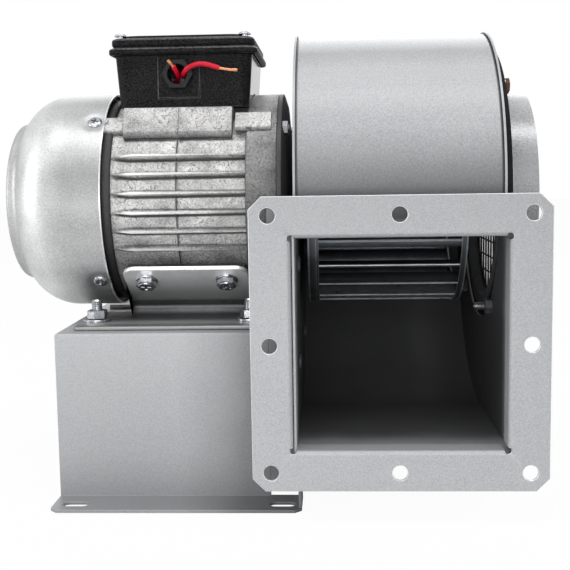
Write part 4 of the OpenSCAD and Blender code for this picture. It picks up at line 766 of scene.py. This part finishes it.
def smooth_route(points, steps):
    """Points of a smooth curve through the given ones, in metres."""
    route = [Vector(p) * MM for p in points]
    ends = [route[0] * 2 - route[1]] + route + [route[-1] * 2 - route[-2]]
    made = []
    for a, b, c, d in zip(ends, ends[1:], ends[2:], ends[3:]):
        for i in range(steps):
            t = i / steps
            made.append(0.5 * (2 * b + (c - a) * t + (2 * a - 5 * b + 4 * c - d) * t * t
                               + (3 * b - 3 * c + d - a) * t ** 3))
    return made + [route[-1]]


def curve_piece(name, lines, radius, finish, nodes):
    """Round wires along the given lines as one curve object, with a radius in mm."""
    data = bpy.data.curves.new(name, "CURVE")
    data.dimensions = "3D"
    data.bevel_depth = radius * MM
    data.bevel_resolution = 3
    data.use_fill_caps = True
    for line in lines:
        spline = data.splines.new("POLY")
        spline.points.add(len(line) - 1)
        for point, at in zip(spline.points, line):
            point.co = (*at, 1)
    data.materials.append(finish)
    return enter(name, data, nodes)


def twisted_strands(points):
    """Lines of strands that wind round a route, spreading a little towards the bare end."""
    route = smooth_route(points, 8)
    last = len(route) - 1
    lines = [[] for _ in range(STRANDS)]
    for i, at in enumerate(route):
        ahead = (route[min(i + 1, last)] - route[max(i - 1, 0)]).normalized()
        side = ahead.cross(Vector((0, 0, 1))).normalized()
        up = side.cross(ahead)
        for s, line in enumerate(lines):
            turn = 2 * math.pi * (s / STRANDS + 0.55 * i / last)
            reach = LAY_R * MM * (1 + 0.25 * i / last * math.sin(3.7 * s))
            line.append(at + reach * (math.cos(turn) * side + math.sin(turn) * up))
    return lines


for name, (route, bare) in LEADS.items():
    line = smooth_route(route, 4)
    lead = curve_piece(f"{name}_red_lead", [line], LEAD_R, red_vinyl, [f"lead_{name}"])
    strands = curve_piece(f"{name}_lead_strands", twisted_strands(route[-1:] + bare), STRAND_R, strand_copper,
                          [f"lead_{name}_copper"])

# Scroll and outlet flange. Two side plates and a spiral band of 1.5 mm sheet, seamed together and coated outside;
# inside, the sheet darkens deeper into the scroll as painted shade. The flange is a square frame with its inner edges
# bent back. The coats of drum and flange carry the soft shades of the studio.
HEART = Vector((0, -20, 126))  # a point that the inner faces of the band look to, mm
FLANGE_X, FLANGE_Z, FLANGE_FACE = 134, 104.45, -137  # middle and face of the flange, mm
MOUTH_HALF, CORNER_CUTS = 80, (55, 70)  # reach of the flange's mouth and of the cuts at its corners, mm
duct_inside = grained("sheet inside the scroll in painted shade", (0.3, 0.304, 0.313), (0.38, 0.385, 0.396), 0.0015,
                      (0.42, 0.6), metallic=0.1, relief=0.1, patch=0.03)
# Painted shade: the band's inside darkens from the mouth into the scroll.
shade_along(duct_inside, "Y", [(-140, 1), (-108, 0.95), (-86, 0.5), (-50, 0.34), (-10, 0.24), (120, 0.14)], 14)
cheek_inside = grained("sheet inside the scroll in deep painted shade", (0.3, 0.302, 0.31), (0.38, 0.382, 0.39), 0.0015,
                       (0.42, 0.6), metallic=0.1, relief=0.1, patch=0.03)
# Painted shade: the side plates' insides darken faster and deeper from the mouth.
shade_along(cheek_inside, "Y", [(-140, 1), (-112, 0.8), (-98, 0.2), (120, 0.07)], 9)
drum_coat = grained("silver powder coat of the drum", (0.49, 0.5, 0.517), (0.73, 0.743, 0.763), 0.0009,
                    (0.34, 0.5), metallic=0.15, relief=0.8, patch=0.06, patch_share=0.1, spread=0.17)
# Painted light and shade on the drum: a lighter coat with a painted highlight near the top, darkening down to the
# flange, and painted shade over the back.
shade_along(drum_coat, "Z", [(150, 0.14), (193, 0.18), (205, 0.306), (218, 0.475), (230, 0.575), (256, 0.53),
                             (268, 0.65), (279, 0.56), (286, 0.79), (290, 0.93), (297, 1)], 1.5, only=("Y", -15, 30))
shade_along(drum_coat, "Y", [(-140, 1), (-15, 1), (30, 0.62), (130, 0.62)])
# Painted shade in the seams: a dark line at each edge of the band, where it meets a side plate.
shade_along(drum_coat, "X", [(72, 1), (73.9, 1), (74.1, 0.1), (74.9, 0.2), (75.3, 1), (197.3, 1), (197.7, 0.2),
                             (198.5, 0.1), (198.7, 1), (201, 1)])
flange_coat = grained("silver powder coat of the flange", (0.307, 0.313, 0.324), (0.44, 0.447, 0.461), 0.0007,
                      (0.38, 0.5), metallic=0.15, relief=0.5, patch=0.06, patch_share=0.1, spread=0.18)
shade_along(flange_coat, "Z", [(20, 1), (50, 0.97), (90, 0.93), (130, 0.88), (165, 0.82), (185, 0.785)], 4)
for name, node, inside, edge, finishes in (
        ("motor_side_cheek", "scroll_motor_side_plate", lambda p, n: n.x > 0.9, 0.25, [powder_coat, cheek_inside]),
        ("inlet_side_cheek", "scroll_inlet_side_plate", lambda p, n: n.x < -0.9, 0.25, [powder_coat, cheek_inside]),
        ("spiral_band", "scroll_band", lambda p, n: abs(n.x) < 0.5 and (p - HEART).dot(n) < 0, 0.15,
         [drum_coat, duct_inside])):
    fit_piece(name, paint(cad_shape(node), inside), finishes, [node], edge=edge)


def from_middle(point):
    """Distances from the flange's middle, across and up, in mm."""
    return abs(point.x - FLANGE_X), abs(point.z - FLANGE_Z)


shape = paint(cad_shape("outlet_flange"),
              lambda p, n: abs(n.y) < 0.1 and p.y < FLANGE_FACE + 2.1 and max(from_middle(p)) < MOUTH_HALF)
eased_edge = shape.edges.layers.float.new("bevel_weight_edge")
for edge in shape.edges:
    middle = (edge.verts[0].co + edge.verts[1].co) / 2 / MM
    at_cut = all(CORNER_CUTS[0] < away < CORNER_CUTS[1] for away in from_middle(middle))
    edge[eased_edge] = float(edge.calc_face_angle(0) > math.radians(50) and not at_cut)
flange = fit_piece("flange_frame", shape, [flange_coat, bare_edge], ["outlet_flange"], edge=0.3,
                   edge_finish=1)
flange.modifiers["eased edges"].limit_method = "WEIGHT"
bpy.context.view_layer.update()
eased = bpy.data.meshes.new_from_object(flange.evaluated_get(bpy.context.evaluated_depsgraph_get()))
for vert in eased.vertices:
    vert.co.y = max(vert.co.y, FLANGE_FACE * MM)
flange.modifiers.clear()
flange.data = eased

# Inlet. A black-painted ring plate clamps the rolled collar to the scroll, with hex screws whose heads have
# rusted. Behind the collar's mouth sits a grid of black wires with a wire rim, which keeps fingers from the wheel.
RING_FACE, PLATE_BACK = 204.1, 198.6  # seats of the screw heads and of the nuts, mm
INLET_R, INLET_ANGLES = 91, [50, 130, -50, -130]  # circle of the screws, mm, and their places, degrees
COLLAR_ROOT = 201  # where the collar comes out of the scroll, mm
GUARD_X, GUARD_R = 206.9, 68.7  # place along the shaft and reach of the guard, mm
black_paint = grained("black enamel", (0.004, 0.004, 0.0045), (0.012, 0.012, 0.013), 0.002, (0.45, 0.6),
                      relief=0.08, patch=0.02, sheen=0.08)
collar_coat = grained("silver powder coat of the collar", (0.4, 0.407, 0.42), (0.62, 0.63, 0.647), 0.0011,
                      (0.22, 0.36), metallic=0.2, relief=0.5, patch=0.02, patch_share=0.4)
# Painted shade: the collar darkens towards its bottom.
shade_along(collar_coat, "Z", [(110, 0.42), (190, 0.45), (215, 0.58), (232, 0.68), (248, 0.86), (258, 1)], 3)
collar_inside_light_and_shade = grained("inside of the collar in painted light and shade", (0.72, 0.725, 0.73), (0.82, 0.825, 0.83), 0.0009,
                    (0.38, 0.5), sheen=0.05)
# Painted light and shade: the collar's inside is painted white beyond the guard, as the lit surround, and dark on the
# scroll's side of it as painted shade.
shade_along(collar_inside_light_and_shade, "X", [(200, 0.03), (207.5, 0.04), (209.5, 1), (226, 1)])
rusty_head = grained("rusted screw heads", (0.03, 0.013, 0.008), (0.15, 0.062, 0.03), 0.0012, (0.6, 0.85),
                     metallic=0.2, relief=0.6, patch=0.005)
fit_piece("inlet_clamp_ring", cad_shape("inlet_ring"), [black_paint], ["inlet_ring"], edge=0.4)


def collar_side(point, normal):
    """0 on the collar's outside, 1 within the scroll and 2 inside the mouth."""
    out = Vector((0, point.y, point.z - AXIS))
    return 1 if point.x < COLLAR_ROOT else 2 if normal.dot(out) < -0.5 * out.length else 0


fit_piece("inlet_spigot", paint(cad_shape("inlet_collar"), collar_side), [collar_coat, cheek_inside, collar_inside_light_and_shade],
          ["inlet_collar"], edge=0.25, turn=50)
seats = round_seats(RING_FACE, INLET_R, INLET_ANGLES)
fasten("inlet_hex_heads", hex_solid(bmesh.new(), 8.6, 1.1, 3.9, 0.6), seats, ["inlet_ring_screws"], rusty_head)
fasten("inlet_screw_stems", round_solid(bmesh.new(), threaded(2.5, -17.4, 1.2, 1.0)), seats)
pattern = round_solid(bmesh.new(), [(5.1, 0), (5.2, 0.2), (5.2, 0.9), (4.9, 1.15)], 40)
fasten("inlet_screw_washers", pattern, seats)
fasten("inlet_screw_nuts", hex_solid(bmesh.new(), 8.5, -4.9, 0, 0.6), round_seats(PLATE_BACK, INLET_R, INLET_ANGLES),
       ["inlet_ring_nuts"], zinc_darkened_as_shade)


def guard_tree():
    """Node tree for a round grid of crossed wires with a wire rim."""
    tree, given = geometry_tree("guard grid", Start="Geometry", Pitch="Float", Wires="Int", Radius="Float",
                                Reach="Float", Finish="Material")

    def vector(**parts):
        return add(tree, "ShaderNodeCombineXYZ", parts)

    def square(value):
        return maths(tree, "MULTIPLY", value, value)

    width = maths(tree, "MULTIPLY", maths(tree, "SUBTRACT", given["Wires"], 1.0), given["Pitch"])
    row = add(tree, "GeometryNodeMeshLine", {"Count": given["Wires"], "Offset": vector(Y=given["Pitch"]),
                                             "Start Location": vector(Y=maths(tree, "MULTIPLY", width, -0.5))},
              mode="OFFSET")
    wire = add(tree, "GeometryNodeCurvePrimitiveLine", {"Start": (0, 0, -1), "End": (0, 0, 1)})
    place = add(tree, "ShaderNodeSeparateXYZ", {"Vector": add(tree, "GeometryNodeInputPosition")}).outputs
    chord = maths(tree, "SQRT", maths(tree, "SUBTRACT", square(given["Reach"]), square(place["Y"])))
    laid = add(tree, "GeometryNodeInstanceOnPoints", {"Points": row, "Instance": wire,
                                                      "Scale": vector(X=1, Y=1, Z=chord)})
    behind = vector(X=maths(tree, "MULTIPLY", given["Radius"], 1.96))
    crossed = add(tree, "GeometryNodeTransform", {"Geometry": laid, "Translation": behind,
                                                  "Rotation": (math.pi / 2, 0, 0)})
    rim, section = [add(tree, "GeometryNodeCurvePrimitiveCircle", {"Resolution": points, "Radius": radius})
                    for points, radius in ((96, given["Reach"]), (10, given["Radius"]))]
    upright = add(tree, "GeometryNodeTransform", {"Geometry": rim, "Rotation": (0, math.pi / 2, 0)})
    whole = tree.nodes.new("GeometryNodeJoinGeometry")
    for part in (laid, crossed, upright):
        feed(tree, whole, {"Geometry": part})
    real = add(tree, "GeometryNodeRealizeInstances", {"Geometry": whole})
    solid = add(tree, "GeometryNodeCurveToMesh", {"Curve": real, "Profile Curve": section, "Fill Caps": True})
    end_tree(tree, add(tree, "GeometryNodeSetShadeSmooth", {"Geometry": solid}), given["Finish"])
    return tree


guard = made_by_tree(guard_tree(), {"Pitch": 11 * MM, "Wires": 13, "Radius": 0.6 * MM, "Reach": GUARD_R * MM,
                                    "Finish": black_paint})
guard.transform(Matrix.Translation((GUARD_X * MM, 0, AXIS * MM)))
enter("guard_grid", guard, ["inlet_guard"])

# Impeller. A squirrel-cage wheel of galvanised sheet on a steel hub: a rimmed back plate, 24 forward-curved
# vanes with rolled hems and a front ring. It turns with the shaft, and shows through the outlet and the inlet.
VANES, VANE_STEPS, VANE_LEAN = 24, 10, 18  # the lean at the outer edge in degrees
VANE_IN, VANE_OUT = 58, 71.7  # radii of the vanes' edges, mm
VANE_LOW, VANE_HIGH = 81.2, 180.8  # ends of the vanes along the shaft, mm
HEM_R = 0.75  # mm
SPANGLE = {"relief": 0.05, "patch": 0.009, "patch_share": 0.6}  # of galvanised sheet
rim_sheet = grained("rolled rim of the wheel", (0.3, 0.325, 0.345), (0.42, 0.45, 0.475), 0.004, (0.26, 0.4),
                    metallic=0.75, **SPANGLE)
# Painted dark and light lines across both rims, as the shade and highlights of their rolled steps.
shade_along(rim_sheet, "X", [(80, 1), (80.8, 0.9), (81.3, 0.16), (83, 0.24), (85, 0.3), (85.4, 0.9), (85.9, 0.14),
                             (86.5, 0.2), (87, 1), (178, 1), (178.5, 0.2), (180.8, 0.24), (181.3, 1), (182, 1)])
vane_sheet = grained("vane sheet, dark towards the hub", (0.25, 0.275, 0.3), (0.37, 0.4, 0.43), 0.004,
                     (0.26, 0.4), metallic=0.6, **SPANGLE)
# Painted shade: each vane darkens from its outer edge towards the hub.
tree = vane_sheet.node_tree
outward = add(tree, "ShaderNodeAttribute", attribute_name="outward").outputs["Fac"]
darker = mixed(tree, outward, (0.012, 0.013, 0.014, 1), tree.nodes["tones"])
feed(tree, tree.nodes["Principled BSDF"], {"Base Color": darker})
hem_sheet = grained("rubbed galvanised hem", (0.2, 0.207, 0.215), (0.4, 0.41, 0.42), 0.004, (0.25, 0.4),
                    metallic=0.6, relief=0.05, patch=0.012, patch_share=0.6)
for node in ("impeller_back_plate", "impeller_front_ring"):
    fit_piece(node + "_sheet", cad_shape(node), [rim_sheet], [node], edge=0.2, body="rotor")


def vane_ring():
    """Node tree that sets a pattern at equal steps round the shaft."""
    tree, given = geometry_tree("vanes round the wheel", Start="Geometry", Pattern="Object", Vanes="Int",
                                Finish="Material")
    places = add(tree, "GeometryNodePoints", {"Count": given["Vanes"]})
    share = maths(tree, "DIVIDE", add(tree, "GeometryNodeInputIndex"), given["Vanes"])
    turn = add(tree, "ShaderNodeCombineXYZ", {"X": maths(tree, "MULTIPLY", share, 2 * math.pi)})
    end_with_copies(tree, given, {"Points": places, "Rotation": turn})
    return tree


vane_tree = vane_ring()


def wheel_piece(name, pattern, finish, nodes=()):
    """Piece of the wheel with a mesh at each vane's place."""
    mesh = made_by_tree(vane_tree, {"Vanes": VANES, "Finish": finish}, pattern=pattern)
    mesh.transform(Matrix.Translation((0, 0, AXIS * MM)))
    enter(name, mesh, nodes, "rotor")


def vane_point(share, thick):
    """Point of the vane's curve in mm, from the inner to the outer edge of the wheel."""
    radius = VANE_IN + share * (VANE_OUT - VANE_IN)
    return polar(radius, math.degrees(thick / radius) - VANE_LEAN / 2 * share * share)


shares = [k / VANE_STEPS for k in range(VANE_STEPS + 1)]
outline = [vane_point(share, 0) for share in shares] + [vane_point(share, 1.0) for share in reversed(shares)]
shape = bmesh.new()
out_share = shape.verts.layers.float.new("outward")
rings = [[shape.verts.new((x * MM, y * MM, z * MM)) for y, z in outline] for x in (VANE_LOW, VANE_HIGH)]
skin(shape, rings, capped=False)
for ring in rings:
    for vert, share in zip(ring, shares + shares[::-1]):
        vert[out_share] = share ** 1.5
    for k in range(VANE_STEPS):
        shape.faces.new((ring[k], ring[k + 1], ring[-k - 2], ring[-k - 1]))
turn_outwards(shape)
vane = as_mesh("vane", shape)
vane.shade_smooth()
vane.set_sharp_from_angle(angle=math.radians(40))
wheel_piece("wheel_vanes", vane, vane_sheet, ["impeller_vanes"])
shape = round_solid(bmesh.new(), [(HEM_R * MM, (VANE_LOW + 0.4) * MM), (HEM_R * MM, (VANE_HIGH - 0.4) * MM)], 12)
tip = Matrix.Translation((0, *Vector(vane_point(0.97, 0.4)) * MM))
bmesh.ops.transform(shape, matrix=tip @ Matrix.Rotation(math.pi / 2, 4, "Y"), verts=shape.verts)
wheel_piece("vane_hems", as_mesh("hem", shape), hem_sheet)
dress(ground_steel, "impeller_hub")

# Studio. A pale floor and a white surround, six soft lamps round the fan, and the camera where the photograph
# was taken from.
floor_shape = bmesh.new()
bmesh.ops.create_grid(floor_shape, x_segments=1, y_segments=1, size=6)
floor = bpy.data.objects.new("floor", as_mesh("floor", floor_shape))
floor.location.z = -0.0004
bpy.context.scene.collection.objects.link(floor)
pale = bpy.data.materials.new("pale floor")
pale.use_nodes = True
tree = pale.node_tree
shader = feed(tree, tree.nodes["Principled BSDF"], {"Base Color": (0.8, 0.8, 0.8, 1), "Roughness": 0.9})
seen = maths(tree, "MULTIPLY", add(tree, "ShaderNodeLightPath").outputs["Is Camera Ray"], 0.96)
mostly = add(tree, "ShaderNodeMixShader", {0: seen, 1: shader, 2: add(tree, "ShaderNodeEmission")})
feed(tree, tree.nodes["Material Output"], {"Surface": mostly})
floor.data.materials.append(pale)

world = bpy.data.worlds.new("studio")
bpy.context.scene.world = world
world.use_nodes = True
tree = world.node_tree
paths = add(tree, "ShaderNodeLightPath").outputs
shown = maths(tree, "MAXIMUM", paths["Is Camera Ray"], paths["Is Glossy Ray"])
shown = maths(tree, "MAXIMUM", shown, paths["Is Transmission Ray"])
feed(tree, tree.nodes["Background"], {"Color": (1, 1, 1, 1), "Strength": ranged(tree, shown, 0.0, 1.0, 0.4, 1.0)})


def soft_lamp(name, place, aim, wide, high, power):
    """Soft lamp that looks from its place at a point."""
    data = bpy.data.lights.new(name, "AREA")
    data.shape = "RECTANGLE"
    data.size = wide
    data.size_y = high
    data.energy = power
    lamp = bpy.data.objects.new(name, data)
    lamp.location = place
    lamp.rotation_euler = (Vector(aim) - Vector(place)).to_track_quat("-Z", "Y").to_euler()
    bpy.context.scene.collection.objects.link(lamp)


soft_lamp("top strip", (0.1, -0.45, 1.6), (0.1, -0.1, 0.2), 1.5, 0.3, 12)
soft_lamp("front lamp", (-0.15, -2.1, 0.62), (0.05, 0, 0.1), 2.2, 1.1, 11)
soft_lamp("low lamp", (-0.05, -1.5, 0.12), (0.05, 0, 0.1), 0.9, 0.2, 4.5)
soft_lamp("left lamp", (-1.35, -0.45, 0.5), (-0.1, 0, 0.15), 0.5, 0.95, 7.5)
soft_lamp("back lamp", (0.1, 1.6, 1.1), (0, 0, 0.15), 1.6, 1.0, 9)
soft_lamp("right lamp", (1.3, -0.3, 0.6), (0.1, 0, 0.2), 0.6, 0.8, 4)

view = bpy.data.cameras.new("view")
view.lens = 62.578
view.sensor_width = 36
camera = bpy.data.objects.new("view", view)
right = Vector((0.99883648, 0.04579996, -0.01510113))
up = Vector((0.00980717, 0.1136843, 0.99346852))
forward = Vector((-0.04721758, 0.9924607, -0.11310286))
camera.matrix_world = Matrix((right, up, -forward)).transposed().to_4x4()
camera.location = (0.095376, -0.698166, 0.203949)
bpy.context.scene.collection.objects.link(camera)
bpy.context.scene.camera = camera
bpy.context.scene.view_settings.view_transform = "Standard"
